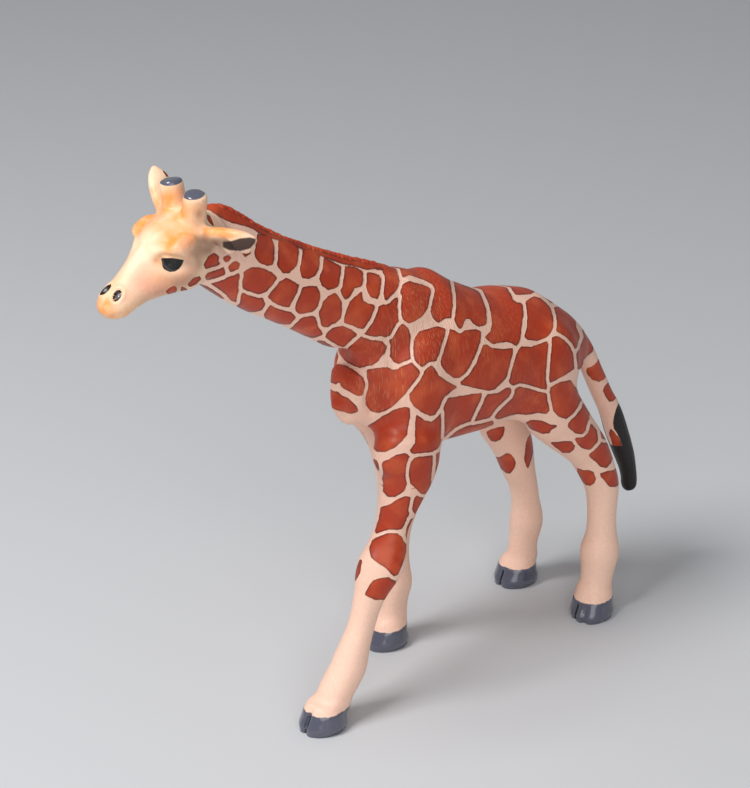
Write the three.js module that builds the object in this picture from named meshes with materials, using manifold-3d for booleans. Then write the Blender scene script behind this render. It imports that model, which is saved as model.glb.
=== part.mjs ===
// A walking giraffe calf: a small painted figure, in pieces that join on tapered pegs.
// Millimetres, +Z up. The calf faces -Y and its left side is +X. The origin is on the
// ground, under the middle of the figure's box.
import * as THREE from 'three';
import { mergeVertices } from 'three/addons/utils/BufferGeometryUtils.js';
import Module from 'manifold-3d';

const wasm = await Module();
wasm.setup();

// Trunk.
const trunkLength = 52.3;
const trunkDepth = 27.5;
const trunkWidth = 19;
const trunkHeight = 50;
const chestAheadShare = 0.4;
const shoulderWidth = 7;
const shoulderLength = 13;
const shoulderDepth = 21;
const haunchWidth = 8.2;
const haunchLength = 16;
const haunchDepth = 18;

// Neck and mane.
const neckLength = 30;
const neckRise = THREE.MathUtils.degToRad(32);
const neckDepth = 12;
const neckWidth = 10.4;
const neckRootBehindChest = 4.4;
const neckRootAboveAxis = 13.3;
const maneWidth = 2.8;
const maneHeight = 2.6;

// Head.
const headLength = 18;
const headTilt = THREE.MathUtils.degToRad(21);
const headDepth = 12;
const headWidth = 10.8;
const headAheadOfNeck = 3;
const headAboveNeck = 0.8;
const browWidth = 2.6;
const browLength = 4.8;
const browHeight = 3;
const cheekWidth = 3.4;
const cheekLength = 7;
const cheekHeight = 5.4;
const leftHornLength = 4.5;
const rightHornLength = 5;
const hornDiameter = 3.7;
const hornSpacing = 3.8;
const hornLean = THREE.MathUtils.degToRad(12);

// Ears. The sweep turns an ear back from straight out, the pitch turns its bowl down.
const earLength = 8.8;
const earWidth = 3.9;
const earThickness = 2.3;
const earBowlLength = 5.6;
const earBowlWidth = 2.5;
const earBowlDepth = 1;
const earSpacing = 6.8;
const leftEarSweep = THREE.MathUtils.degToRad(26);
const leftEarLift = THREE.MathUtils.degToRad(5);
const leftEarPitch = THREE.MathUtils.degToRad(38);
const rightEarSweep = THREE.MathUtils.degToRad(17);
const rightEarLift = THREE.MathUtils.degToRad(43);
const rightEarPitch = THREE.MathUtils.degToRad(72);
const earSeamAlong = 2.2;

// Legs. A joint is the top of a leg inside the trunk, a stride is how far its hoof
// stands ahead of the joint, and a stance is how far the hoof stands from the middle.
const frontJointBelowAxis = 6;
const frontJointBehindChest = 9.8;
const frontJointAside = 5.8;
const frontLegGirth = 6.5;
const hindJointBelowAxis = 6;
const hindJointBehindChest = 39.4;
const hindJointAside = 5.6;
const hindLegGirth = 6.9;
const frontLeftStride = 17.1;
const frontRightStride = -6.6;
const hindLeftStride = -8.5;
const hindRightStride = -7;
const frontLeftStance = 6.9;
const frontRightStance = 6.4;
const hindLeftStance = 7.9;
const hindRightStance = 8.4;

// Hooves. A turn swings a hoof's toes to the calf's left.
const hoofLength = 8;
const hoofWidth = 7;
const hoofHeight = 4.2;
const cleftWidth = 0.7;
const cleftLength = 2.2;
const cleftLean = THREE.MathUtils.degToRad(24);
const frontLeftTurn = THREE.MathUtils.degToRad(2);
const frontRightTurn = THREE.MathUtils.degToRad(0);
const hindLeftTurn = THREE.MathUtils.degToRad(26);
const hindRightTurn = THREE.MathUtils.degToRad(4);

// Tail.
const tailLength = 37.4;
const tailDiameter = 3.6;
const tailRootBeforeRump = 4.8;
const tailRootBelowAxis = 1.9;
const tailSeamAlong = 11.5;

// Joints between the pieces.
const seamGap = 0.3;
const pegClearance = 0.3;
const pegTipShare = 0.42;
const neckPegDiameter = 5;
const neckPegLength = 5;
const headPegDiameter = 4;
const headPegLength = 3.4;
const legPegDiameter = 3.1;
const legPegLength = 3.6;
const tailPegDiameter = 1.5;
const tailPegLength = 2.6;
const earPegDiameter = 1.1;
const earPegLength = 1.3;
const frontSeamBelowAxis = 13.8;
const hindSeamBelowAxis = 15.2;

// How far a cutting block runs past what it cuts.
const overrun = 200;

// Outlines, as shares of the sizes above. A trunk row is: behind the chest, height of
// the section's middle over the axis, half height over it, half height under it, and
// half width.
const trunkShares = [
  [0.002, -0.03, 0.02, 0.02, 0.02],
  [0.02, -0.05, 0.09, 0.1, 0.1],
  [0.06, -0.035, 0.18, 0.18, 0.19],
  [0.149, 0.035, 0.43, 0.35, 0.35],
  [0.283, 0.055, 0.56, 0.473, 0.46],
  [0.398, 0.018, 0.45, 0.48, 0.495],
  [0.512, -0.036, 0.395, 0.436, 0.5],
  [0.627, -0.073, 0.395, 0.4, 0.49],
  [0.742, -0.091, 0.34, 0.353, 0.44],
  [0.837, -0.127, 0.22, 0.291, 0.335],
  [0.933, -0.22, 0.14, 0.18, 0.2],
  [0.968, -0.244, 0.06, 0.08, 0.1],
];
const shoulderShares = { behindChest: 0.247, aboveAxis: 0, aside: 0.32 };
const haunchShares = { behindChest: 0.7, aboveAxis: -0.15, aside: 0.3 };

// A neck row is: along the neck from its root, off its axis, over, under and half width.
const neckShares = [
  [1.187, 0.013, 0.32, 0.36, 0.38],
  [0.995, 0.018, 0.388, 0.454, 0.42],
  [0.72, -0.044, 0.408, 0.475, 0.41],
  [0.545, -0.036, 0.417, 0.483, 0.42],
  [0.343, -0.026, 0.433, 0.5, 0.44],
  [0.18, -0.017, 0.467, 0.533, 0.47],
  [0, 0, 0.525, 0.575, 0.55],
  [-0.285, 0.023, 0.72, 0.62, 0.68],
  [-0.5, 0.05, 0.6, 0.66, 0.66],
  [-0.75, 0.09, 0.36, 0.4, 0.4],
];
const maneShares = [
  [1.13, 0.43, 0.3],
  [1.04, 0.43, 0.46],
  [0.72, 0.35, 0.5],
  [0.343, 0.4, 0.5],
  [0.12, 0.47, 0.48],
  [-0.1, 0.58, 0.42],
];

// A head row is: from the poll towards the muzzle, over, under and half width.
const headShares = [
  [1, 0.05, 0.08, 0.11],
  [0.955, 0.117, 0.14, 0.195],
  [0.889, 0.175, 0.19, 0.255],
  [0.778, 0.24, 0.165, 0.278],
  [0.667, 0.325, 0.17, 0.315],
  [0.556, 0.408, 0.217, 0.4],
  [0.444, 0.475, 0.275, 0.47],
  [0.222, 0.533, 0.4, 0.5],
  [0, 0.45, 0.467, 0.44],
  [-0.167, 0.283, 0.367, 0.31],
];
const browShares = { fromPoll: 0.275, up: 0.325, aside: 0.4 };
const cheekShares = { fromPoll: 0.27, up: -0.08, aside: 0.3 };
const hornRootShares = { fromPoll: 0.06, up: 0.36 };
const hornShares = [
  [0, 0.54],
  [0.5, 0.47],
  [0.86, 0.46],
  [1, 0.4],
];
const headSeamShares = { fromPoll: 0.06, up: -0.06 };
const headSeamTilt = THREE.MathUtils.degToRad(10);

// An ear row is: along the ear, half width and half thickness. The first row lies inside
// the skull, so that the ear's root meets it all round.
const earRootShares = { fromPoll: 0.09, up: 0.24 };
const earShares = [
  [-0.22, 0.34, 0.56],
  [0, 0.4, 0.6],
  [0.18, 0.42, 0.54],
  [0.42, 0.49, 0.5],
  [0.66, 0.47, 0.44],
  [0.86, 0.32, 0.34],
  [1, 0.07, 0.12],
];
const earBowlAlongShare = 0.56;

// A leg row is: down from the joint to the ground, ahead of the straight line between
// them, and the fore-and-aft and sideways girths.
const frontLeftShares = [
  [0, -0.014, 1.9, 1.26],
  [0.06, -0.018, 1.86, 1.26],
  [0.134, -0.052, 1.64, 1.18],
  [0.202, -0.054, 1.26, 1.06],
  [0.273, -0.053, 0.96, 0.92],
  [0.339, -0.05, 0.76, 0.78],
  [0.402, -0.046, 0.83, 0.84],
  [0.47, -0.03, 1, 0.94],
  [0.541, -0.034, 0.8, 0.76],
  [0.611, -0.038, 0.68, 0.64],
  [0.68, -0.041, 0.65, 0.63],
  [0.745, -0.035, 0.77, 0.73],
  [0.814, -0.034, 0.89, 0.83],
  [0.875, -0.006, 0.84, 0.82],
  [0.923, 0, 0.88, 0.86],
];
const frontRightShares = [
  [0, -0.057, 1.4, 1.14],
  [0.091, -0.109, 1.34, 1.14],
  [0.182, -0.132, 1.24, 1.1],
  [0.295, -0.14, 1.14, 1.04],
  [0.386, -0.135, 1.07, 0.98],
  [0.455, -0.125, 1.04, 0.96],
  [0.518, -0.109, 0.77, 0.72],
  [0.616, -0.085, 0.7, 0.66],
  [0.705, -0.076, 0.73, 0.69],
  [0.775, -0.07, 0.87, 0.81],
  [0.841, -0.056, 0.8, 0.75],
  [0.886, -0.042, 0.79, 0.75],
  [0.923, -0.025, 0.86, 0.82],
];
const hindLeftShares = [
  [0, 0.048, 1.6, 1.2],
  [0.114, 0.03, 1.52, 1.2],
  [0.218, -0.034, 1.25, 1.12],
  [0.325, -0.105, 1, 0.98],
  [0.425, -0.136, 0.88, 0.87],
  [0.495, -0.149, 0.83, 0.8],
  [0.559, -0.138, 0.74, 0.7],
  [0.639, -0.119, 0.7, 0.66],
  [0.7, -0.106, 0.78, 0.74],
  [0.757, -0.086, 0.99, 0.92],
  [0.816, -0.066, 0.84, 0.8],
  [0.875, -0.044, 0.78, 0.74],
  [0.92, -0.025, 0.96, 0.92],
];
const hindRightShares = [
  [0, 0.036, 1.54, 1.2],
  [0.136, 0.039, 1.42, 1.18],
  [0.25, 0.033, 1.26, 1.1],
  [0.318, 0.012, 1.12, 1],
  [0.38, -0.014, 1.03, 0.94],
  [0.448, -0.028, 0.92, 0.85],
  [0.518, -0.043, 0.8, 0.74],
  [0.568, -0.056, 0.7, 0.66],
  [0.661, -0.064, 0.69, 0.65],
  [0.75, -0.0625, 0.85, 0.8],
  [0.8, -0.05, 0.76, 0.72],
  [0.852, -0.036, 0.7, 0.67],
  [0.907, -0.028, 0.8, 0.76],
];

// A hoof row is: up the hoof, rear, front and half width.
const hoofShares = [
  [1.06, 0.26, 0.3, 0.36],
  [0.86, 0.31, 0.37, 0.42],
  [0.45, 0.38, 0.46, 0.47],
  [0.12, 0.43, 0.54, 0.5],
  [-0.2, 0.43, 0.54, 0.49],
];
const hoofAheadShare = 0.02;
const hoofRootShares = { up: 0.5, fore: 0.28, side: 0.3 };
const cleftShares = { ahead: 0.5, up: 0.5, tall: 1.3 };

// A tail row is: behind its root, above its root, and girth.
const tailShares = [
  [-0.05, 0.04, 0.9],
  [0, 0, 1],
  [0.074, -0.081, 1],
  [0.153, -0.217, 0.95],
  [0.232, -0.374, 0.94],
  [0.282, -0.461, 1.02],
  [0.325, -0.572, 1.08],
  [0.385, -0.715, 0.94],
  [0.417, -0.818, 0.75],
  [0.423, -0.88, 0.74],
  [0.425, -0.9, 0.4],
];

const ACROSS = new THREE.Vector3(1, 0, 0);
const UP = new THREE.Vector3(0, 0, 1);
const FORWARD = new THREE.Vector3(0, -1, 0);
const SECTION_SIDES = 24;
const LIMB_SIDES = 16;
const STEPS_PER_STATION = 1.5;
const SEARCH_STEPS = 200;

// Points of a geometry closer than this are one point.
const weldDistance = 1e-5;

// A closed solid from a geometry.
function solid(geometry) {
  const bare = geometry.clone();
  bare.deleteAttribute('normal');
  bare.deleteAttribute('uv');
  const merged = mergeVertices(bare, weldDistance);
  return new wasm.Manifold(new wasm.Mesh({
    numProp: 3,
    vertProperties: merged.attributes.position.array,
    triVerts: new Uint32Array(merged.index.array),
  }));
}

// The geometry of a solid, with flat shading.
function geometryOf(body) {
  const mesh = body.getMesh();
  const shared = new THREE.BufferGeometry();
  shared.setAttribute('position', new THREE.BufferAttribute(mesh.vertProperties, 3));
  shared.setIndex(new THREE.BufferAttribute(mesh.triVerts, 1));
  const faceted = shared.toNonIndexed();
  faceted.computeVertexNormals();
  return faceted;
}

function join(solids) {
  return solids.reduce((whole, next) => whole.add(next));
}

// A closed skin through a row of egg-shaped sections. Each station has a centre, half
// heights over and under it and a half width. The sections lie square to the line of
// centres, and `across` is their sideways direction.
function loft(stations, sides, across = ACROSS) {
  const steps = Math.round(STEPS_PER_STATION * stations.length);
  const line = new THREE.CatmullRomCurve3(stations.map((station) => station.centre));
  const halves = new THREE.CatmullRomCurve3(
    stations.map((station) => new THREE.Vector3(station.over, station.under, station.side)),
  );
  const points = [];
  for (let i = 0; i <= steps; i += 1) {
    const centre = line.getPoint(i / steps);
    const lift = new THREE.Vector3().crossVectors(across, line.getTangent(i / steps)).normalize();
    const half = halves.getPoint(i / steps);
    for (let j = 0; j < sides; j += 1) {
      const angle = (2 * Math.PI * j) / sides;
      const sine = Math.sin(angle);
      points.push(centre.clone()
        .addScaledVector(across, half.z * Math.cos(angle))
        .addScaledVector(lift, sine * (sine > 0 ? half.x : half.y)));
    }
  }
  points.push(stations[0].centre.clone(), stations.at(-1).centre.clone());
  const geometry = new THREE.BufferGeometry().setFromPoints(points);
  geometry.setIndex(skinFaces(steps, sides));
  return solid(geometry);
}

// The triangles of a skin of rings that is closed by one more point at each end.
function skinFaces(steps, sides) {
  const firstEnd = (steps + 1) * sides;
  const lastEnd = firstEnd + 1;
  const faces = [];
  for (let j = 0; j < sides; j += 1) {
    const k = (j + 1) % sides;
    faces.push(firstEnd, j, k);
    for (let i = 0; i < steps; i += 1) {
      const near = i * sides;
      const far = near + sides;
      faces.push(near + j, far + j, near + k);
      faces.push(near + k, far + j, far + k);
    }
    faces.push(steps * sides + j, lastEnd, steps * sides + k);
  }
  return faces;
}

// An egg-shaped mass, with its three axes along the row's unless a turn is given.
function mass(centre, width, length, height, turn = new THREE.Quaternion()) {
  const ball = new THREE.SphereGeometry(1, LIMB_SIDES, LIMB_SIDES / 2);
  ball.scale(width / 2, length / 2, height / 2);
  ball.applyQuaternion(turn);
  ball.translate(centre.x, centre.y, centre.z);
  return solid(ball);
}

// A half space: all that lies past a seam, on the side that its normal points to.
function past(place, normal, shift) {
  const block = new THREE.BoxGeometry(2 * overrun, 2 * overrun, overrun);
  block.translate(0, 0, overrun / 2 + shift);
  block.applyQuaternion(new THREE.Quaternion().setFromUnitVectors(UP, normal));
  block.translate(place.x, place.y, place.z);
  return solid(block);
}

// A seam's normal points from the outer piece, which carries the peg, into the inner
// one, which has the socket. Both pieces stay half the gap away from the seam.
function innerSide(seam) {
  return past(seam.place, seam.normal, seamGap / 2);
}

function outerSide(seam) {
  return past(seam.place, seam.normal.clone().negate(), seamGap / 2);
}

// A tapered rod along a seam's normal, rooted in the outer piece.
function rod(seam, diameter, length) {
  const root = 2 * seamGap;
  const shape = new THREE.CylinderGeometry(
    pegTipShare * diameter,
    diameter / 2,
    length + root,
    LIMB_SIDES,
  );
  shape.translate(0, (length - root) / 2, 0);
  const turn = new THREE.Quaternion().setFromUnitVectors(new THREE.Vector3(0, 1, 0), seam.normal);
  shape.applyQuaternion(turn);
  shape.translate(seam.place.x, seam.place.y, seam.place.z);
  return solid(shape);
}

function peg(seam) {
  return rod(seam, seam.pegDiameter, seam.pegLength);
}

function socket(seam) {
  return rod(seam, seam.pegDiameter + 2 * pegClearance, seam.pegLength + pegClearance);
}

// Places on the trunk, from the chest and the axis. The chest lies chestAheadShare of
// the trunk's length ahead of zero.
function onTrunk(behindChest, aboveAxis, aside = 0) {
  const behind = behindChest - chestAheadShare * trunkLength;
  return new THREE.Vector3(aside, behind, trunkHeight + aboveAxis);
}

const trunkMiddle = onTrunk(trunkLength / 2, 0);

// Places on the neck, along it from its root and up from its axis.
const neckForward = new THREE.Vector3(0, -Math.cos(neckRise), Math.sin(neckRise));
const neckUpward = new THREE.Vector3(0, Math.sin(neckRise), Math.cos(neckRise));
const neckRoot = onTrunk(neckRootBehindChest, neckRootAboveAxis);

function onNeck(along, up) {
  return neckRoot.clone().addScaledVector(neckForward, along).addScaledVector(neckUpward, up);
}

// Places on the head, from the poll towards the muzzle and up from its axis.
const muzzleward = new THREE.Vector3(0, -Math.cos(headTilt), -Math.sin(headTilt));
const headUpward = new THREE.Vector3(0, -Math.sin(headTilt), Math.cos(headTilt));
const alongHead = new THREE.Quaternion().setFromAxisAngle(ACROSS, headTilt);
const poll = onNeck(neckLength + headAheadOfNeck, headAboveNeck);

function onHead(fromPollShare, upShare, aside = 0) {
  return poll.clone()
    .addScaledVector(muzzleward, fromPollShare * headLength)
    .addScaledVector(headUpward, upShare * headDepth)
    .setX(aside);
}

function trunk() {
  const barrel = loft(trunkShares.map(([behind, rise, over, under, side]) => ({
    centre: onTrunk(behind * trunkLength, rise * trunkDepth),
    over: over * trunkDepth,
    under: under * trunkDepth,
    side: side * trunkWidth,
  })), SECTION_SIDES);
  const muscles = [-1, 1].flatMap((hand) => [
    mass(
      onTrunk(
        shoulderShares.behindChest * trunkLength,
        shoulderShares.aboveAxis * trunkDepth,
        hand * shoulderShares.aside * trunkWidth,
      ),
      shoulderWidth,
      shoulderLength,
      shoulderDepth,
    ),
    mass(
      onTrunk(
        haunchShares.behindChest * trunkLength,
        haunchShares.aboveAxis * trunkDepth,
        hand * haunchShares.aside * trunkWidth,
      ),
      haunchWidth,
      haunchLength,
      haunchDepth,
    ),
  ]);
  return join([barrel, ...muscles]);
}

function neck() {
  const column = loft(neckShares.map(([along, off, over, under, side]) => ({
    centre: onNeck(along * neckLength, off * neckDepth),
    over: over * neckDepth,
    under: under * neckDepth,
    side: side * neckWidth,
  })), SECTION_SIDES);
  const mane = loft(maneShares.map(([along, up, size]) => ({
    centre: onNeck(along * neckLength, up * neckDepth),
    over: size * maneHeight,
    under: size * maneHeight,
    side: size * maneWidth,
  })), LIMB_SIDES);
  return join([column, mane]);
}

// One of the two blunt horns of a giraffe, on the side that `hand` gives.
function horn(hand, length) {
  const foot = onHead(hornRootShares.fromPoll, hornRootShares.up, (hand * hornSpacing) / 2);
  const upward = new THREE.Vector3(hand * Math.sin(hornLean), 0, Math.cos(hornLean));
  const across = new THREE.Vector3(upward.z, 0, -upward.x);
  return loft(hornShares.map(([along, size]) => ({
    centre: foot.clone().addScaledVector(upward, along * length),
    over: size * hornDiameter,
    under: size * hornDiameter,
    side: size * hornDiameter,
  })), LIMB_SIDES, across);
}

function head() {
  const skull = loft(headShares.map(([fromPoll, over, under, side]) => ({
    centre: onHead(fromPoll, 0),
    over: over * headDepth,
    under: under * headDepth,
    side: side * headWidth,
  })), SECTION_SIDES);
  const pairs = [-1, 1].flatMap((hand) => [
    mass(
      onHead(browShares.fromPoll, browShares.up, hand * browShares.aside * headWidth),
      browWidth,
      browLength,
      browHeight,
      alongHead,
    ),
    mass(
      onHead(cheekShares.fromPoll, cheekShares.up, hand * cheekShares.aside * headWidth),
      cheekWidth,
      cheekLength,
      cheekHeight,
      alongHead,
    ),
  ]);
  return join([skull, ...pairs, horn(1, leftHornLength), horn(-1, rightHornLength)]);
}

// An ear with a bowl in its front, and the seam at its root.
function ear(hand, sweep, lift, pitch) {
  const root = onHead(earRootShares.fromPoll, earRootShares.up, (hand * earSpacing) / 2);
  const outward = new THREE.Vector3(
    hand * Math.cos(lift) * Math.cos(sweep),
    Math.cos(lift) * Math.sin(sweep),
    Math.sin(lift),
  );
  const facing = new THREE.Vector3(0, -Math.cos(pitch), -Math.sin(pitch));
  const across = new THREE.Vector3().crossVectors(outward, facing).normalize();
  const bowlward = new THREE.Vector3().crossVectors(across, outward);
  const leaf = loft(earShares.map(([along, side, thick]) => ({
    centre: root.clone().addScaledVector(outward, along * earLength),
    over: thick * earThickness,
    under: thick * earThickness,
    side: side * earWidth,
  })), LIMB_SIDES, across);
  const turn = new THREE.Quaternion().setFromRotationMatrix(
    new THREE.Matrix4().makeBasis(across, outward, bowlward.clone().negate()),
  );
  const mouth = root.clone()
    .addScaledVector(outward, earBowlAlongShare * earLength)
    .addScaledVector(bowlward, earThickness / 2);
  return {
    leaf: leaf.subtract(mass(mouth, earBowlWidth, earBowlLength, 2 * earBowlDepth, turn)),
    seam: {
      place: root.clone().addScaledVector(outward, earSeamAlong),
      normal: outward.clone().negate(),
      pegDiameter: earPegDiameter,
      pegLength: earPegLength,
    },
  };
}

// A two-toed hoof on a place on the ground.
function hoof(place, turn) {
  const across = new THREE.Vector3(Math.cos(turn), Math.sin(turn), 0);
  const forward = new THREE.Vector3(Math.sin(turn), -Math.cos(turn), 0);
  const middle = place.clone().addScaledVector(forward, hoofAheadShare * hoofLength);
  const horny = loft(hoofShares.map(([up, rear, front, side]) => ({
    centre: middle.clone().setZ(up * hoofHeight),
    over: rear * hoofLength,
    under: front * hoofLength,
    side: side * hoofWidth,
  })), LIMB_SIDES, across);
  const blade = new THREE.BoxGeometry(cleftWidth, cleftLength, cleftShares.tall * hoofHeight);
  blade.rotateX(-cleftLean);
  blade.rotateZ(turn);
  const toe = middle.clone().addScaledVector(forward, cleftShares.ahead * hoofLength);
  blade.translate(toe.x, toe.y, cleftShares.up * hoofHeight);
  return horny.subtract(solid(blade));
}

// A leg from its joint to the ground, and the seam at its top. It ends inside its hoof.
function leg({ joint, foot, rows, girth, turn, seamHeight, quarter }) {
  const stations = rows.map(([down, ahead, fore, side]) => ({
    centre: joint.clone().lerp(foot, down).addScaledVector(FORWARD, ahead * joint.z),
    over: (fore * girth) / 2,
    under: (fore * girth) / 2,
    side: (side * girth) / 2,
  }));
  stations.push({
    centre: foot.clone().setZ(hoofRootShares.up * hoofHeight),
    over: hoofRootShares.fore * hoofLength,
    under: hoofRootShares.fore * hoofLength,
    side: hoofRootShares.side * hoofWidth,
  });
  const ground = past(new THREE.Vector3(), UP.clone().negate(), 0);
  const limb = join([loft(stations, LIMB_SIDES), hoof(foot, turn)]).subtract(ground);
  const line = new THREE.CatmullRomCurve3(stations.map((station) => station.centre));
  const offSeam = (point) => Math.abs(point.z - seamHeight);
  const place = line.getPoints(SEARCH_STEPS).reduce((best, next) => (
    offSeam(next) < offSeam(best) ? next : best
  ));
  return {
    limb,
    quarter,
    seam: {
      place: place.setZ(seamHeight),
      normal: UP,
      pegDiameter: legPegDiameter,
      pegLength: legPegLength,
    },
  };
}

function frontLeg(hand, stride, stance, turn, rows) {
  const joint = onTrunk(frontJointBehindChest, -frontJointBelowAxis, hand * frontJointAside);
  return leg({
    joint,
    foot: new THREE.Vector3(hand * stance, joint.y - stride, 0),
    rows,
    girth: frontLegGirth,
    turn,
    seamHeight: trunkHeight - frontSeamBelowAxis,
    quarter: past(trunkMiddle, FORWARD, 0),
  });
}

function hindLeg(hand, stride, stance, turn, rows) {
  const joint = onTrunk(hindJointBehindChest, -hindJointBelowAxis, hand * hindJointAside);
  return leg({
    joint,
    foot: new THREE.Vector3(hand * stance, joint.y - stride, 0),
    rows,
    girth: hindLegGirth,
    turn,
    seamHeight: trunkHeight - hindSeamBelowAxis,
    quarter: past(trunkMiddle, FORWARD.clone().negate(), 0),
  });
}

// The tail with its tuft, and the seam where it leaves the rump.
function tail() {
  const root = onTrunk(trunkLength - tailRootBeforeRump, -tailRootBelowAxis);
  const stations = tailShares.map(([behind, above, size]) => ({
    centre: root.clone().add(new THREE.Vector3(0, behind * tailLength, above * tailLength)),
    over: (size * tailDiameter) / 2,
    under: (size * tailDiameter) / 2,
    side: (size * tailDiameter) / 2,
  }));
  const line = new THREE.CatmullRomCurve3(stations.map((station) => station.centre));
  const along = tailSeamAlong / tailLength;
  return {
    switchTail: loft(stations, LIMB_SIDES),
    seam: {
      place: line.getPointAt(along),
      normal: line.getTangentAt(along).negate(),
      pegDiameter: tailPegDiameter,
      pegLength: tailPegLength,
    },
  };
}

// The whole calf, and then its pieces, cut apart at the seams.
const neckSeam = {
  place: onNeck(0, 0),
  normal: neckForward.clone().negate(),
  pegDiameter: neckPegDiameter,
  pegLength: neckPegLength,
};
const headSeam = {
  place: onHead(headSeamShares.fromPoll, headSeamShares.up),
  normal: new THREE.Vector3(0, Math.cos(headSeamTilt), -Math.sin(headSeamTilt)),
  pegDiameter: headPegDiameter,
  pegLength: headPegLength,
};
const legs = {
  front_leg_left: frontLeg(1, frontLeftStride, frontLeftStance, frontLeftTurn, frontLeftShares),
  front_leg_right: frontLeg(-1, frontRightStride, frontRightStance, frontRightTurn, frontRightShares),
  hind_leg_left: hindLeg(1, hindLeftStride, hindLeftStance, hindLeftTurn, hindLeftShares),
  hind_leg_right: hindLeg(-1, hindRightStride, hindRightStance, hindRightTurn, hindRightShares),
};
const ears = {
  ear_left: ear(1, leftEarSweep, leftEarLift, leftEarPitch),
  ear_right: ear(-1, rightEarSweep, rightEarLift, rightEarPitch),
};
const { switchTail, seam: tailSeam } = tail();

const limbs = Object.values(legs);
const leaves = Object.values(ears);
const calf = join([trunk(), neck(), head(), ...limbs.map((each) => each.limb)]);

const colours = {
  torso: '#b04a2e',
  neck: '#b4492b',
  head: '#f0d6bd',
  ear_left: '#eac39a',
  ear_right: '#eac39a',
  front_leg_left: '#e9bfa6',
  front_leg_right: '#e5b79e',
  hind_leg_left: '#e9bfa6',
  hind_leg_right: '#e5b79e',
  tail: '#3a3131',
};

// The outer pieces carry their pegs. Below its seam a leg is clear of the trunk.
const pieces = {};
for (const [name, { limb, seam }] of Object.entries(legs)) {
  pieces[name] = limb.intersect(outerSide(seam)).add(peg(seam));
}
for (const [name, { leaf, seam }] of Object.entries(ears)) {
  pieces[name] = leaf.intersect(outerSide(seam)).add(peg(seam));
}
pieces.tail = switchTail.intersect(outerSide(tailSeam)).add(peg(tailSeam));
pieces.neck = calf
  .intersect(innerSide(headSeam))
  .intersect(outerSide(neckSeam))
  .add(peg(neckSeam))
  .subtract(socket(headSeam));
pieces.head = leaves.reduce(
  (skull, { leaf, seam }) => skull.add(leaf.intersect(innerSide(seam))).subtract(socket(seam)),
  calf.intersect(outerSide(headSeam)).add(peg(headSeam)),
);
pieces.torso = limbs.reduce(
  (body, { seam, quarter }) => body
    .subtract(past(seam.place, seam.normal.clone().negate(), -seamGap / 2).intersect(quarter))
    .subtract(socket(seam)),
  calf.intersect(innerSide(neckSeam)).subtract(socket(neckSeam)),
)
  .add(switchTail.intersect(innerSide(tailSeam)))
  .subtract(socket(tailSeam));

const figure = new THREE.Group();
for (const [name, body] of Object.entries(pieces)) {
  const finish = new THREE.MeshStandardMaterial({
    color: colours[name], roughness: 0.45, metalness: 0,
  });
  const mesh = new THREE.Mesh(geometryOf(body), finish);
  mesh.name = name;
  figure.add(mesh);
}

// The origin goes under the middle of the figure's box.
const box = new THREE.Box3().setFromObject(figure);
const boxMiddle = box.getCenter(new THREE.Vector3());
figure.position.set(-boxMiddle.x, -boxMiddle.y, -box.min.z);

export default new THREE.Group().add(figure);
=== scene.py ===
"""The painted look of a small walking giraffe calf figure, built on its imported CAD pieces.

The pieces are merged into one skin, smoothed and sculpted, and parted again at their
seams. Lengths are in millimetres, in the calf's own frame, until a mesh is finished.
"""

import logging
import math
from collections.abc import Iterable, Sequence
from dataclasses import dataclass
from enum import Enum

import bmesh
import bpy
import numpy as np
from mathutils import Matrix, Vector
from mathutils.bvhtree import BVHTree


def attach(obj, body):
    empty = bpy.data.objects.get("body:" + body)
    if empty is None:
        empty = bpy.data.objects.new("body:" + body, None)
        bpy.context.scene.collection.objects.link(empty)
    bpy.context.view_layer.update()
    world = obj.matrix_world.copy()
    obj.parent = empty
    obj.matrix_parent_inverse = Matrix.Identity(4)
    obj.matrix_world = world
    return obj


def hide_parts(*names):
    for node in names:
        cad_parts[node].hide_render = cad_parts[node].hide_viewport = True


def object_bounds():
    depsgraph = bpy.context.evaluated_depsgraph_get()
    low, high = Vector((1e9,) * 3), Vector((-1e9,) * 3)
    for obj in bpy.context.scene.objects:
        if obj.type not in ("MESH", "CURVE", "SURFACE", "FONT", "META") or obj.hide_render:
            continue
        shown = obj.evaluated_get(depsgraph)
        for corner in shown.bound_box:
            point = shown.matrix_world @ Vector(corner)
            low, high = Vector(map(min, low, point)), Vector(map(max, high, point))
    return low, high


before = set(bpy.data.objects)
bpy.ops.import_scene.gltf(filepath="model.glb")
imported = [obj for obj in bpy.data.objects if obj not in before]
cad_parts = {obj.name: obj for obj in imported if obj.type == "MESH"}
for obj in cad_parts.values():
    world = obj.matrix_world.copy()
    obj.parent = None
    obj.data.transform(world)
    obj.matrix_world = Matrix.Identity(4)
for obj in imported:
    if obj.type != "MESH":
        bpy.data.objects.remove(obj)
CAD_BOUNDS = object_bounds()

LOG = logging.getLogger("calf")
METRES = 0.001
TINY = 1e-12

# What a paint number holds where its paint is far away.
OUTSIDE = -1.0

# Where the calf's own zero lies in the frame, in millimetres.
CALF_ZERO = np.array((0.14, 8.696, 0.0))

Array = np.ndarray
Colour = tuple[float, float, float, float]
Pixel = tuple[float, float]
Place = tuple[float, float, float]
Span = tuple[float, float]
Ramp = tuple[float, ...]


class Piece(Enum):
    """The figure's pieces, by their CAD nodes."""

    TORSO = "torso"
    NECK = "neck"
    HEAD = "head"
    EAR_LEFT = "ear_left"
    EAR_RIGHT = "ear_right"
    FRONT_LEFT = "front_leg_left"
    FRONT_RIGHT = "front_leg_right"
    HIND_LEFT = "hind_leg_left"
    HIND_RIGHT = "hind_leg_right"
    TAIL = "tail"


class Slot(Enum):
    """The record's material slots."""

    COAT = "coat_paint"
    HEAD = "head_paint"
    LEG = "leg_paint"
    TAIL = "tail_paint"


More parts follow.
